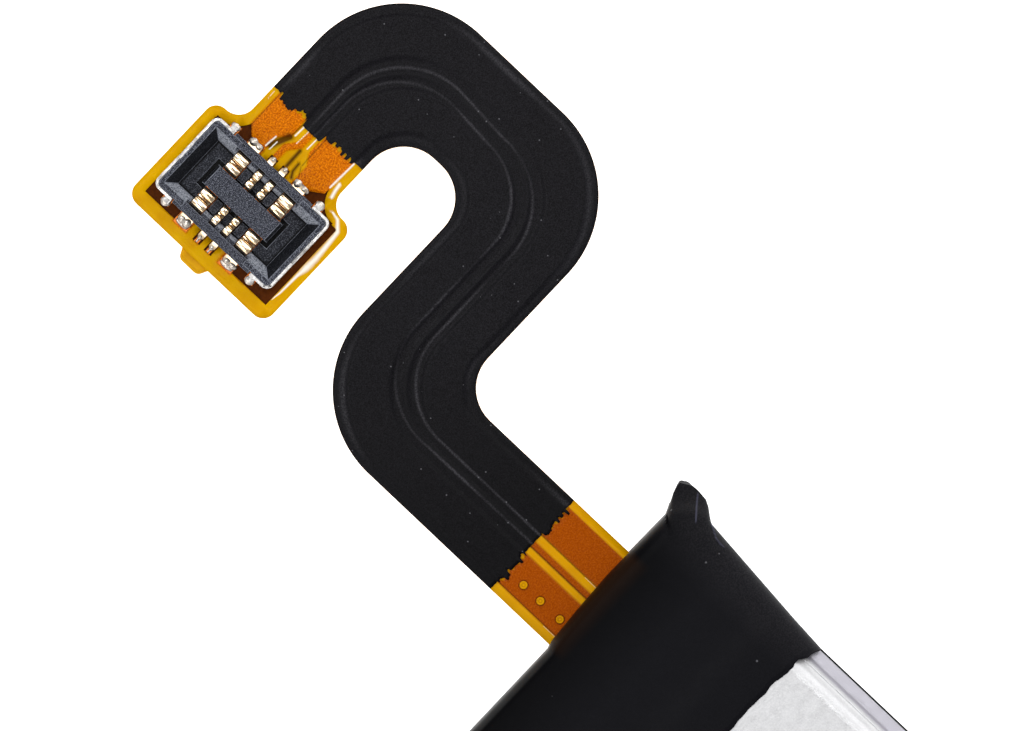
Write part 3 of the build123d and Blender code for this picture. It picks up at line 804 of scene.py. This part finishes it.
def solder_tree(finish):
    inputs = [("Unevenness", 0.02 * MM), ("Lump Size", 0.1 * MM), ("Seed", 3, "Int")]
    tree, given, result = geometry_tree("solder drops", inputs)
    drop = put(tree, "GeometryNodeMeshIcoSphere", {"Radius": 0.5, "Subdivisions": 4})
    drops = copies(tree, given, drop.outputs["Mesh"])
    place = put(tree, "GeometryNodeInputPosition")
    scale = reckon(tree, "DIVIDE", 1.0, given.outputs["Lump Size"])
    links = {"Vector": place.outputs[0], "Scale": scale, "Detail": 1.0, "W": given.outputs["Seed"]}
    lumps = put(tree, "ShaderNodeTexNoise", links, noise_dimensions="4D")
    links = {0: lumps.outputs["Color"], 1: (0.5, 0.5, 0.5)}
    centred = put(tree, "ShaderNodeVectorMath", links, operation="SUBTRACT")
    links = {0: centred.outputs[0], "Scale": given.outputs["Unevenness"]}
    shift = put(tree, "ShaderNodeVectorMath", links, operation="SCALE")
    links = {"Geometry": drops, "Offset": shift.outputs[0]}
    moved = put(tree, "GeometryNodeSetPosition", links)
    return end_tree(tree, moved.outputs[0], finish, result)


def ring_tree(finish):
    tree, given, result = geometry_tree("via rings", [("Rim", 0.02 * MM)])
    circle = put(tree, "GeometryNodeCurvePrimitiveCircle", {"Resolution": 40, "Radius": 0.5})
    links = {"Resolution": 10, "Radius": given.outputs["Rim"]}
    profile = put(tree, "GeometryNodeCurvePrimitiveCircle", links)
    rings = copies(tree, given, circle.outputs["Curve"])
    links = {"Curve": rings, "Profile Curve": profile.outputs["Curve"]}
    swept = put(tree, "GeometryNodeCurveToMesh", links)
    return end_tree(tree, swept.outputs[0], finish, result)


ring_size = 0.22
ring_rim = 0.022


def make_via_rings(finish):
    top = coverlay_top + film_relief
    points = [(tail_place.x + x, tail_place.y + y, top) for x, y in via_places]
    sizes = [(ring_size,) * 3] * len(points)
    settings = {"Rim": ring_rim * MM}
    return grow("via_rings", ring_tree(finish), points, sizes, settings, finish)


# Sizes of the solder: along the lead, across it and upwards. The widths of signal drops
# and of seams are shares of the lead's width.
power_drop = (0.34, 0.36, 0.2)
signal_drop = (0.26, 0.85, 0.18)
power_seam = (0.2, 1.05, 0.1)
signal_seam = (0.4, 0.35, 0.08)
strap_drop = (0.3, 0.36, 0.13)
# Places of the two drops on a wide lead, as shares of its width from its middle
power_places = (-0.26, 0.22)
seam_reach = 0.1
seam_depth = 0.01
strap_foot = 0.13
strap_edge = 0.03


def make_solder(finish):
    draw = random.Random(4)
    points, sizes = [], []

    def lay(x, y, z, long, wide, tall):
        points.append((x, y, z))
        sizes.append((long, wide, tall))

    for name in contacts:
        low, high = node_box(name)
        lead, middle = high.y - low.y, (low.y + high.y) / 2
        foot, turn = (low.x, -1) if "left" in name else (high.x, 1)
        if "power" in name:
            long, wide, tall = power_drop
            for share in power_places:
                place = middle + (share + draw.uniform(-0.06, 0.06)) * lead
                more, taller = draw.uniform(-0.07, 0.07), draw.uniform(-0.03, 0.04)
                lay(foot - turn * 0.04, place, low.z, long + more, wide, tall + taller)
        else:
            long, wide, tall = signal_drop
            lay(foot - turn * 0.02, middle, low.z, long, wide * lead, tall)
        long, wide, tall = power_seam if "power" in name else signal_seam
        lay(foot + turn * seam_reach, middle, low.z - seam_depth, long, wide * lead, tall)
    for name, turn in (("hold_down_front", 1), ("hold_down_rear", -1)):
        low, high = node_box(name)
        foot = (low.y if turn > 0 else high.y) + turn * strap_foot
        long, wide, tall = strap_drop
        for side in (low.x + strap_edge, high.x - strap_edge):
            lay(side, foot, low.z, long + draw.uniform(-0.05, 0.05), wide, tall)
    settings = {"Unevenness": 0.03 * MM, "Lump Size": 0.12 * MM, "Seed": 3}
    return grow("lead_solder", solder_tree(finish), points, sizes, settings, finish)


# Spring contacts

# Middle line of a contact's strip: distance from the receptacle's middle, and height
spring_line = [
    (1.75, 0.04),
    (1.19, 0.04),
    (1.16, 0.64),
    (0.86, 0.64),
    (0.83, 0.13),
    (0.48, 0.13),
    (0.45, 0.52),
    (0.68, 0.52),
    (0.7, 0.41),
]
spring_bends = [0.05, 0.14, 0.14, 0.06, 0.06, 0.09, 0.06]
strip_half = 0.04
strip_edge = 0.022
housing_low, housing_high = node_box("connector_housing")
housing_middle = (housing_low + housing_high) / 2


def rounded(line, bends, steps=7):
    """A line of points with an arc in place of each corner."""
    points = [Vector(line[0])]
    for before, corner, after, radius in zip(line, line[1:], line[2:], bends):
        corner = Vector(corner)
        way_in = (corner - Vector(before)).normalized()
        way_out = (Vector(after) - corner).normalized()
        turn = way_in.angle_signed(way_out)
        start = corner - way_in * radius * math.tan(abs(turn) / 2)
        side = Vector((-way_in.y, way_in.x)) * (-1 if turn > 0 else 1)
        center = start + side * radius
        for step in range(steps + 1):
            points.append(center + Matrix.Rotation(-turn * step / steps, 2) @ (start - center))
    return points + [Vector(line[-1])]


def make_contact(name, finish):
    low, high = node_box(name)
    turn = 1 if low.x > housing_middle.x else -1
    half = (high.y - low.y) / 2
    line = rounded(spring_line, spring_bends)
    over, along = strip_half - strip_edge, half - strip_edge
    corners = [(over, along), (-over, along), (-over, -along), (over, -along)]
    ring = []
    for quarter, (over, along) in enumerate(corners):
        for part in (0, 30, 60, 90):
            lean = math.radians(90 * quarter + part)
            ring.append((over + strip_edge * math.cos(lean), along + strip_edge * math.sin(lean)))
    points = []
    for i, here in enumerate(line):
        ahead = (line[min(i + 1, len(line) - 1)] - line[max(i - 1, 0)]).normalized()
        out = Vector((-ahead.y, ahead.x))
        for over, along in ring:
            place = here + out * over
            x, y = housing_middle.x + turn * place.x, (low.y + high.y) / 2 + along
            points.append((x, y, housing_low.z + place.y))
    faces = skin(len(line), len(ring), closed=True)
    faces += [tuple(range(len(ring))), tuple(range(len(points) - len(ring), len(points)))]
    spring = mesh_piece(name.replace("contact", "spring"), points, faces)
    merge(spring)
    spring.data.materials.append(finish)
    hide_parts(name)


# Stiffener: two layers, of which the upper one stops short of the tab's edge
head_corner = 0.45
tab_reach = 0.34
tab_half = 0.575
tab_step = 0.11
tab_taper = 0.6  # how much narrower the upper layer's tab is for its step
tab_bends = [0.05, 0.24, 0.24, 0.05]
step_height = 0.06
upper_foot = 0.1
layer_rims = [(0.0, -0.035), (0.01, -0.01), (0.035, 0.0)]  # how far inwards and down


def make_stiffener(finish):
    low, high = node_box("head_stiffener")
    left, middle = low.x + tab_reach, (low.y + high.y) / 2
    points, faces = [], []
    layers = ((0.0, low.z, high.z - step_height), (tab_step, low.z + upper_foot, high.z))
    for step, bottom, top in layers:
        edge, half = low.x + step, tab_half - tab_taper * step
        slant = (left - edge) / 2
        line = [(high.x, middle), (high.x, high.y), (left, high.y), (left, middle + half)]
        line += [(edge, middle + half - slant), (edge, middle - half + slant)]
        line += [(left, middle - half), (left, low.y), (high.x, low.y), (high.x, middle)]
        outline = rounded(line, [head_corner] * 2 + tab_bends + [head_corner] * 2)[:-1]
        rings = [(0.0, bottom)] + [(inset, top + drop) for inset, drop in layer_rims]
        count, base = len(outline), len(points)
        for inset, height in rings:
            for i, here in enumerate(outline):
                along = (outline[(i + 1) % count] - outline[i - 1]).normalized()
                place = here + Vector((-along.y, along.x)) * inset
                points.append((place.x, place.y, height))
        faces += shifted(skin(len(rings), count, closed=True), base)
        faces += [tuple(range(base, base + count))]
        faces += [tuple(range(len(points) - count, len(points)))]
    stiffener = mesh_piece("pad_stiffener", points, faces, smooth=False)
    merge(stiffener)
    stiffener.data.materials.append(finish)
    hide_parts("head_stiffener")


def round_edges(name, width, segments=2, finish=None, clamp=True):
    """Joins the node's mesh by modifiers and breaks its sharp edges, whose bevels may get a paler
    finish as a painted highlight.
    """
    node = nodes[name]
    weld = node.modifiers.new("join", "WELD")
    weld.merge_threshold = 1e-4 * MM
    edges = node.modifiers.new("edges", "BEVEL")
    edges.width = width * MM
    edges.segments = segments
    edges.limit_method = "ANGLE"
    edges.angle_limit = math.radians(25)
    edges.harden_normals = True
    edges.use_clamp_overlap = clamp
    if finish is not None:
        node.data.materials.append(finish)
        edges.material = len(node.data.materials) - 1


# Materials


def tint(red, green, blue):
    """A colour as seen on a screen, 0 to 255, made linear."""
    parts = [c / 255 for c in (red, green, blue)]
    return tuple(c / 12.92 if c < 0.04 else ((c + 0.055) / 1.055) ** 2.4 for c in parts) + (1.0,)


def in_millimetres(tree):
    where = tree.nodes.new("ShaderNodeTexCoord")
    links = {0: where.outputs["Object"], "Scale": 1 / MM}
    return put(tree, "ShaderNodeVectorMath", links, operation="SCALE").outputs[0]


def make_grain():
    """Even grain of one size, from 0 to 1."""
    inputs = [("Size", 0.05), ("Softness", 0.25)]
    tree, given, result = new_tree("grain", "ShaderNodeTree", inputs, "Grain")
    scale = reckon(tree, "DIVIDE", 1.0, given.outputs["Size"])
    links = {"Vector": in_millimetres(tree), "Scale": scale, "Detail": 2.0}
    speckle = put(tree, "ShaderNodeTexNoise", links)
    low = reckon(tree, "SUBTRACT", 0.5, given.outputs["Softness"])
    high = reckon(tree, "ADD", 0.5, given.outputs["Softness"])
    links = {"Value": speckle.outputs["Fac"], "From Min": low, "From Max": high}
    spread = put(tree, "ShaderNodeMapRange", links)
    tree.links.new(spread.outputs[0], result.inputs["Grain"])
    return tree


def make_specks():
    """Scattered round specks: 1 on a speck and 0 beside it."""
    inputs = [("Spacing", 0.5), ("Speck Size", 0.1), ("Share", 0.3)]
    tree, given, result = new_tree("specks", "ShaderNodeTree", inputs, "Speck")
    scale = reckon(tree, "DIVIDE", 1.0, given.outputs["Spacing"])
    cells = put(tree, "ShaderNodeTexVoronoi", {"Vector": in_millimetres(tree), "Scale": scale})
    near = reckon(tree, "LESS_THAN", cells.outputs["Distance"], given.outputs["Speck Size"])
    pick = put(tree, "ShaderNodeSeparateColor", {0: cells.outputs["Color"]})
    chosen = reckon(tree, "LESS_THAN", pick.outputs[0], given.outputs["Share"])
    tree.links.new(reckon(tree, "MULTIPLY", near, chosen), result.inputs["Speck"])
    return tree


def make_rectangle_line():
    """A soft line along a rectangle: 1 on it and 0 at its width from it."""
    inputs = [("Middle X", 0.0), ("Middle Y", 0.0), ("Half X", 1.0), ("Half Y", 1.0)]
    inputs.append(("Width", 0.1))
    tree, given, result = new_tree("rectangle line", "ShaderNodeTree", inputs, "Line")
    place = put(tree, "ShaderNodeSeparateXYZ", {0: in_millimetres(tree)}).outputs
    beyond = []
    for axis in "XY":
        gap = reckon(tree, "SUBTRACT", place[axis], given.outputs["Middle " + axis])
        gap = reckon(tree, "ABSOLUTE", gap)
        beyond.append(reckon(tree, "SUBTRACT", gap, given.outputs["Half " + axis]))
    away = reckon(tree, "ABSOLUTE", reckon(tree, "MAXIMUM", *beyond))
    links = {"Value": away, "From Max": given.outputs["Width"], "To Min": 1.0, "To Max": 0.0}
    line = put(tree, "ShaderNodeMapRange", links)
    tree.links.new(line.outputs[0], result.inputs["Line"])
    return tree


grain_group = make_grain()
speck_group = make_specks()
line_group = make_rectangle_line()


class Finish:
    """A material with its shader, and nodes added to it one after another."""

    def __init__(self, name, roughness, metallic=0.0, specular=0.5):
        self.material = bpy.data.materials.new(name)
        self.material.use_nodes = True
        self.tree = self.material.node_tree
        self.shader = self.tree.nodes["Principled BSDF"]
        self.feed("Roughness", roughness)
        self.feed("Metallic", metallic)
        self.feed("Specular IOR Level", specular)

    def group(self, group, **values):
        links = {label.replace("_", " "): value for label, value in values.items()}
        return put(self.tree, "ShaderNodeGroup", links, node_tree=group).outputs[0]

    def grain(self, size, softness=0.25):
        return self.group(grain_group, Size=size, Softness=softness)

    def specks(self, spacing, speck, share):
        return self.group(speck_group, Spacing=spacing, Speck_Size=speck, Share=share)

    def mix(self, factor, first, second):
        links = {0: factor, 6: first, 7: second}
        return put(self.tree, "ShaderNodeMix", links, data_type="RGBA").outputs[2]

    def stretch(self, value, low, high, to_low=0.0, to_high=1.0):
        """Turns the range from low to high into another one, and stays within it."""
        links = {"Value": value, "From Min": low, "From Max": high}
        links.update({"To Min": to_low, "To Max": to_high})
        return put(self.tree, "ShaderNodeMapRange", links).outputs[0]

    def faded(self, value, most):
        """A value from 0 to 1, made weaker."""
        return self.stretch(value, 0, 1, 0, most)

    def reckon(self, kind, *values):
        return reckon(self.tree, kind, *values)

    def place(self, axis):
        parts = put(self.tree, "ShaderNodeSeparateXYZ", {0: in_millimetres(self.tree)})
        return parts.outputs[axis]

    def attribute(self, name):
        return put(self.tree, "ShaderNodeAttribute", attribute_name=name).outputs["Fac"]

    def color(self, value):
        self.feed("Base Color", value)

    def rough(self, value, low, high):
        self.feed("Roughness", self.stretch(value, 0.0, 1.0, low, high))

    def feed(self, label, value):
        join(self.tree, value, self.shader.inputs[label])

    def bump(self, heights):
        """Adds reliefs: pairs of a height from 0 to 1 and its depth in millimetres."""
        normal = None
        for height, depth in heights:
            links = {"Height": height, "Strength": 1.0, "Distance": depth * MM}
            if normal is not None:
                links["Normal"] = normal
            normal = put(self.tree, "ShaderNodeBump", links).outputs["Normal"]
        self.feed("Normal", normal)


def black_film_finish():
    """Fine grain, darker near the exit, with painted highlights over the ridges and near the
    edges, and dust.
    """
    f = Finish("black film", 0.32, specular=0.06)
    fine, patches = f.grain(0.035, 0.3), f.grain(1.6, 0.3)
    dust = f.specks(0.36, 0.07, 0.45)
    base = f.mix(f.stretch(fine, 0.15, 0.85), tint(1, 1, 2), tint(30, 29, 33))
    base = f.mix(f.faded(patches, 0.12), base, tint(28, 28, 31))
    base = f.mix(f.stretch(f.attribute("along"), 0.02, 0.3, 0.6, 0.0), base, tint(2, 2, 3))
    # Painted highlight over the ridges and near the edges, broken up by grain
    broken = f.stretch(f.grain(0.05, 0.2), 0.2, 0.8, 0.3, 1.0)
    lightened = f.reckon("MULTIPLY", f.attribute("painted_sheen"), broken)
    base = f.mix(f.stretch(lightened, 0.06, 0.9, 0, 0.85), base, tint(60, 59, 63))
    f.color(f.mix(f.faded(dust, 0.5), base, tint(120, 120, 125)))
    f.rough(f.grain(0.09), 0.28, 0.38)
    f.bump([(fine, 0.0035)])
    return f.material


def tape_finish():
    """Dark beside the tail's exit, paler and speckled towards the side, with a painted reflection
    of the amber tail at its end, a painted highlight on the folds, and dust.
    """
    f = Finish("black tape", 0.46, specular=0.04)
    fine = f.grain(0.03, 0.3)
    dust = f.specks(0.55, 0.07, 0.25)
    # Painted reflection: an amber tint on the tape's end, over the tail's width, where the flex
    # would be mirrored
    below = f.reckon("ABSOLUTE", f.reckon("SUBTRACT", f.place(0), tail_place.x))
    below = f.stretch(below, half_tail - 0.1, half_tail + 0.15, 0.55, 0.0)
    near = f.stretch(f.place(1), tail_place.y - 0.75, tail_place.y - 0.05)
    amber = f.reckon("MULTIPLY", below, near)
    base = f.mix(fine, tint(9, 9, 12), tint(23, 23, 27))
    # Paler and speckled towards the side
    lightened = f.stretch(f.place(0), tail_place.x + 2.6, tail_place.x + 4.6, 0.0, 0.8)
    speckled = f.stretch(f.grain(0.05, 0.15), 0.2, 1.0, 0.25, 1.0)
    lightened = f.reckon("MULTIPLY", lightened, speckled)
    base = f.mix(lightened, base, tint(46, 45, 48))
    beside = f.stretch(f.place(0), tail_place.x + 2.0, tail_place.x + 3.8, 1.0, 0.4)
    dim = f.stretch(f.place(1), tail_place.y - 2.7, tail_place.y - 0.2, 0.0, 0.9)
    base = f.mix(f.reckon("MULTIPLY", dim, beside), base, tint(1, 1, 2))
    base = f.mix(amber, base, tint(40, 22, 8))
    # Painted highlight along the folds of the tape
    base = f.mix(f.stretch(f.attribute("fold"), 0.35, 1.0, 0, 0.6), base, tint(80, 80, 98))
    f.color(f.mix(f.faded(dust, 0.35), base, tint(130, 130, 135)))
    f.rough(f.grain(0.5), 0.42, 0.5)
    f.bump([(fine, 0.001)])
    return f.material


def cover_film_finish():
    """Orange over the copper and yellow beside it, both darker near the exit and lighter towards
    the head as painted light, with painted shade in the grooves and painted highlights on the
    creases.
    """
    f = Finish("amber cover film", 0.26, specular=0.035)
    fine = f.grain(0.055, 0.2)
    copper = f.attribute("copper below")
    # Painted light: the same orange and yellow are darker near the exit and lighter towards the
    # head
    lit_towards_head = f.stretch(f.place(1), tail_place.y + 8, tail_place.y + 12)
    dark = f.mix(lit_towards_head, tint(146, 62, 0), tint(178, 76, 0))
    light = f.mix(lit_towards_head, tint(172, 80, 0), tint(232, 134, 2))
    orange = f.mix(f.stretch(fine, 0.1, 0.9), dark, light)
    warm = f.mix(f.grain(0.6), tint(206, 143, 0), tint(216, 157, 0))
    yellow = f.mix(lit_towards_head, warm, f.mix(f.grain(0.6), tint(210, 150, 0), tint(222, 170, 0)))
    # Painted shade in the grooves beside the copper and round the vias
    groove = f.faded(f.attribute("dark groove"), 0.9)
    film = f.mix(groove, f.mix(copper, yellow, orange), tint(60, 27, 0))
    # Painted highlight on the creases
    f.color(f.mix(f.stretch(f.attribute("bright crease"), 0.3, 0.9), film, tint(255, 250, 238)))
    f.rough(fine, 0.18, 0.32)
    f.bump([(fine, 0.003)])
    return f.material


def flex_base_finish():
    """Amber at its cut edges and brown on top, where it shows in the window; the brown is partly
    the bare film's own tone and partly painted shade.
    """
    f = Finish("amber base film", 0.3, specular=0.035)
    top = f.stretch(f.place(2), base_top - 0.01, base_top - 0.005)
    amber = f.mix(f.grain(0.3), tint(196, 140, 0), tint(214, 160, 2))
    # Brown top: partly the film's own tone, partly painted shade in the window
    brown = f.mix(f.grain(0.12, 0.3), tint(66, 26, 0), tint(90, 42, 4))
    f.color(f.mix(top, amber, brown))
    f.bump([(f.grain(0.08), 0.002)])
    return f.material


seam_start = 20.45


def pouch_finish():
    """Soft silver with two grains, and a little darker over the folded seal."""
    f = Finish("pouch laminate", 0.4, metallic=0.5, specular=0.3)
    fine, soft = f.grain(0.06, 0.3), f.grain(0.35, 0.3)
    seam = f.stretch(f.reckon("ABSOLUTE", f.place(0)), seam_start, seam_start + 0.05)
    base = f.mix(soft, tint(192, 192, 194), tint(204, 204, 206))
    base = f.mix(f.faded(fine, 0.6), base, tint(224, 224, 225))
    f.color(f.mix(seam, base, tint(178, 176, 184)))
    f.rough(soft, 0.34, 0.44)
    f.bump([(fine, 0.002), (soft, 0.004)])
    return f.material


def plain_finish(name, first, second, size, roughness, metallic=0.0, relief=0.002, specular=0.5):
    """A two-tone material with even grain, for moulded, rolled and printed parts."""
    f = Finish(name, roughness[0], metallic, specular)
    fine = f.grain(size)
    f.color(f.mix(fine, tint(*first), tint(*second)))
    f.rough(f.grain(size * 3), *roughness)
    f.bump([(fine, relief)])
    return f.material


# The receptacle's floor, and the half sizes of its island and of the bay round it
floor_level = housing_low.z + 0.2
island_half = (0.39, 1.43)
bay_half = (0.98, 2.0)


def housing_finish():
    """Speckled dark plastic, with painted light on its sideways slopes, painted shade low down, in
    its pits and on its end slopes, and painted shadows at the foot of its island and bay walls.
    """
    f = Finish("connector plastic", 0.4, specular=0.1)
    fine = f.grain(0.05, 0.16)
    fleck = f.grain(0.03, 0.1)
    base = f.mix(fine, tint(15, 17, 24), tint(58, 60, 71))
    base = f.mix(f.stretch(fleck, 0.72, 1.0, 0, 0.75), base, tint(138, 142, 154))
    # Painted light on the slopes that face sideways
    facing = put(f.tree, "ShaderNodeNewGeometry").outputs["True Normal"]
    leans = put(f.tree, "ShaderNodeSeparateXYZ", {0: facing}).outputs
    slope = f.stretch(f.reckon("ABSOLUTE", leans[0]), 0.45, 0.55)
    slope = f.reckon("MULTIPLY", slope, f.reckon("GREATER_THAN", leans[2], 0.3))
    pale = f.mix(fine, tint(66, 70, 80), tint(176, 180, 190))
    # Painted shade low down, towards the floor
    deep = f.stretch(f.place(2), floor_level + 0.03, floor_level + 0.45, 0.55, 0.0)
    base = f.mix(deep, base, tint(6, 7, 10))
    # Painted shade in the pits below the floor and on the end slopes
    pit_shade = f.stretch(f.place(2), floor_level - 0.09, floor_level - 0.02, 0.95, 0.0)
    end_slope_shade = f.stretch(f.reckon("ABSOLUTE", leans[1]), 0.4, 0.55, 0.0, 0.85)
    shade = f.reckon("MAXIMUM", pit_shade, end_slope_shade)
    base = f.mix(slope, f.mix(shade, base, tint(4, 5, 7)), pale)
    # Painted shadows along the foot of the island and of the bay's walls
    foot_shadows = []
    for (half_x, half_y), gap, width in ((island_half, 0.06, 0.1), (bay_half, 0.0, 0.12)):
        line = {"Middle_X": housing_middle.x, "Middle_Y": housing_middle.y, "Width": width}
        foot_shadows.append(f.group(line_group, Half_X=half_x + gap, Half_Y=half_y + gap, **line))
    low_down = f.stretch(f.place(2), floor_level - 0.03, floor_level + 0.12, 1.0, 0.0)
    foot = f.reckon("MULTIPLY", f.reckon("MAXIMUM", *foot_shadows), low_down)
    f.color(f.mix(f.stretch(foot, 0.1, 0.5, 0.0, 0.97), base, tint(2, 2, 3)))
    f.rough(fine, 0.4, 0.6)
    f.bump([(fine, 0.006)])
    return f.material


finishes = {
    "black film": black_film_finish(),
    "black tape": tape_finish(),
    "amber cover film": cover_film_finish(),
    "amber base film": flex_base_finish(),
    "pouch laminate": pouch_finish(),
    "connector plastic": housing_finish(),
}
# Plain materials: darker and lighter colour, size of the grain, least and most roughness,
# and where they aren't as usual: metal share, relief and specular share
plain_looks = {
    "plastic edge highlight": ((84, 88, 98), (136, 140, 152), 0.05, (0.35, 0.5), 0.0, 0.002, 0.3),
    "black label film": ((12, 12, 14), (22, 22, 24), 0.2, (0.35, 0.45), 0.0, 0.002, 0.12),
    "copper foil": ((196, 104, 40), (224, 132, 60), 0.05, (0.3, 0.45), 0.9),
    "gold plating": ((236, 204, 160), (252, 234, 206), 0.2, (0.14, 0.2), 1.0, 0.0005),
    "tinned steel": ((150, 146, 142), (226, 225, 224), 0.14, (0.3, 0.42), 0.9, 0.006),
    "solder": ((176, 166, 156), (226, 218, 208), 0.06, (0.28, 0.4), 1.0, 0.002),
    "stiffener laminate": ((204, 148, 0), (220, 166, 4), 0.3, (0.28, 0.4), 0.0, 0.002, 0.08),
    "board laminate": ((16, 62, 40), (22, 78, 50), 0.15, (0.3, 0.42)),
    "foam": ((44, 44, 47), (70, 70, 74), 0.12, (0.8, 0.95), 0.0, 0.03),
    "nickel strip": ((150, 148, 142), (186, 184, 178), 0.08, (0.3, 0.42), 1.0),
    "aluminium strip": ((190, 192, 196), (216, 218, 220), 0.1, (0.3, 0.4), 1.0),
    "terminal seal": ((196, 196, 190), (226, 226, 220), 0.2, (0.4, 0.5)),
    "moulded package": ((18, 18, 20), (34, 34, 36), 0.05, (0.55, 0.7), 0.0, 0.002, 0.2),
    "chip ceramic": ((150, 128, 102), (178, 154, 126), 0.08, (0.4, 0.55)),
}
for finish_name, look in plain_looks.items():
    finishes[finish_name] = plain_finish(finish_name, *look)

# The nodes of each material
dress = {
    "pouch laminate": ["pouch_cell"],
    "black label film": ["label_wrap"],
    "foam": ["board_pad"],
    "board laminate": ["protection_board"],
    "aluminium strip": ["positive_tab"],
    "nickel strip": [
        "negative_tab",
        "positive_weld_plate",
        "negative_weld_plate",
        "thermal_cutoff",
    ],
    "terminal seal": ["positive_tab_seal", "negative_tab_seal"],
    "moulded package": ["protection_chip", "switch_transistors", "chip_resistors"],
    "chip ceramic": ["chip_capacitors", "thermistor"],
    "amber base film": ["flex_base"],
    "copper foil": [
        "positive_copper",
        "negative_copper",
        "signal_copper",
        "plated_vias",
        "anchor_pads",
    ],
    "stiffener laminate": ["head_stiffener"],
    "connector plastic": ["connector_housing"],
    "tinned steel": ["hold_down_front", "hold_down_rear"],
    "gold plating": contacts,
}
for finish_name, node_names in dress.items():
    for node_name in node_names:
        node_mesh = nodes[node_name].data
        node_mesh.materials.clear()
        node_mesh.materials.append(finishes[finish_name])

# The pieces, in the order in which they are made

black_film = make_black_film()
black_film.data.materials.append(finishes["black film"])
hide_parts("black_cover_film")
cover_film = make_cover_film()
cover_film.data.materials.append(finishes["amber cover film"])
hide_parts("coverlay")
end_tape = make_end_tape()
end_tape.data.materials.append(finishes["black tape"])
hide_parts("end_tape")
make_side_folds().data.materials.append(finishes["pouch laminate"])
make_via_rings(finishes["amber cover film"])
for contact in contacts:
    make_contact(contact, finishes["gold plating"])
# The receptacle's bevelled edges get a paler finish, as a painted highlight
round_edges("connector_housing", 0.014, 1, finishes["plastic edge highlight"], False)
make_stiffener(finishes["stiffener laminate"])
round_edges("hold_down_front", 0.012)
round_edges("hold_down_rear", 0.012)
solder = make_solder(finishes["solder"])
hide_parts("contact_solder")

# Camera, floor and lights

view_width = 33.57
view_middle = Vector((20.78, 47.12, 2.0))
view_up = Vector((0.7266, 0.6871, 0.0))
camera_distance = 420.0


def make_camera():
    data = bpy.data.cameras.new("camera")
    data.sensor_width = 36.0
    data.lens = data.sensor_width * camera_distance / view_width
    data.clip_start = 0.01
    data.clip_end = 10.0
    camera = show("camera", data)
    camera.location = (view_middle + Vector((0, 0, camera_distance))) * MM
    across = view_up.cross(Vector((0, 0, 1)))
    turned = Matrix((across, view_up, Vector((0, 0, 1)))).transposed()
    camera.rotation_euler = turned.to_euler()
    bpy.context.scene.camera = camera


def softbox(name, toward, tilt, size, power, distance=400.0):
    """A soft light, seen from the battery toward a heading and tilted off the zenith."""
    data = bpy.data.lights.new(name, "AREA")
    data.shape = "RECTANGLE"
    data.size, data.size_y = size[0] * MM, size[1] * MM
    data.energy = power
    lamp = show(name, data)
    lean = math.radians(tilt)
    heading = Vector((toward[0], toward[1], 0)).normalized() * math.sin(lean)
    lamp.location = (view_middle + (heading + Vector((0, 0, math.cos(lean)))) * distance) * MM
    aim = view_middle * MM - lamp.location
    lamp.rotation_euler = aim.to_track_quat("-Z", "Y").to_euler()


def make_floor():
    reach = 2.0
    corners = [(-reach, -reach, 0), (reach, -reach, 0), (reach, reach, 0), (-reach, reach, 0)]
    data = bpy.data.meshes.new("floor")
    data.from_pydata(corners, [], [(0, 1, 2, 3)])
    floor = show("floor", data)
    floor.location.z = -0.05 * MM
    paper = Finish("white paper", 0.9, specular=0.0)
    paper.color(tint(244, 244, 244))
    paper.feed("Emission Color", (1, 1, 1, 1))
    paper.feed("Emission Strength", 1.0)
    data.materials.append(paper.material)


# Brightness of the studio's dome, from the horizon (0) to straight above (1)
dome_steps = [(0.0, 0.5), (0.3, 0.8), (0.55, 0.8), (0.75, 0.45), (0.92, 0.28), (1.0, 0.22)]


def make_dome():
    world = bpy.data.worlds.new("studio")
    bpy.context.scene.world = world
    world.use_nodes = True
    tree = world.node_tree
    where = tree.nodes.new("ShaderNodeTexCoord")
    parts = put(tree, "ShaderNodeSeparateXYZ", {0: where.outputs["Generated"]})
    ramp = put(tree, "ShaderNodeValToRGB", {0: parts.outputs[2]})
    stops = ramp.color_ramp.elements
    while len(stops) < len(dome_steps):
        stops.new(0.5)
    for stop, (height, level) in zip(stops, dome_steps):
        stop.position = height
        stop.color = (level, level, level, 1)
    tree.links.new(ramp.outputs["Color"], tree.nodes["Background"].inputs["Color"])


make_camera()
make_floor()
make_dome()
softbox("key softbox", (0, 1), 18, (110, 110), 0.3)
softbox("right softbox", (1, 0.1), 20, (70, 110), 0.22)
softbox("left softbox", (-1, 0.1), 20, (70, 110), 0.18)
softbox("right edge softbox", (1, 0), 52, (180, 220), 0.3)
softbox("left edge softbox", (-1, 0), 55, (180, 220), 0.2)
bpy.context.scene.view_settings.view_transform = "Standard"
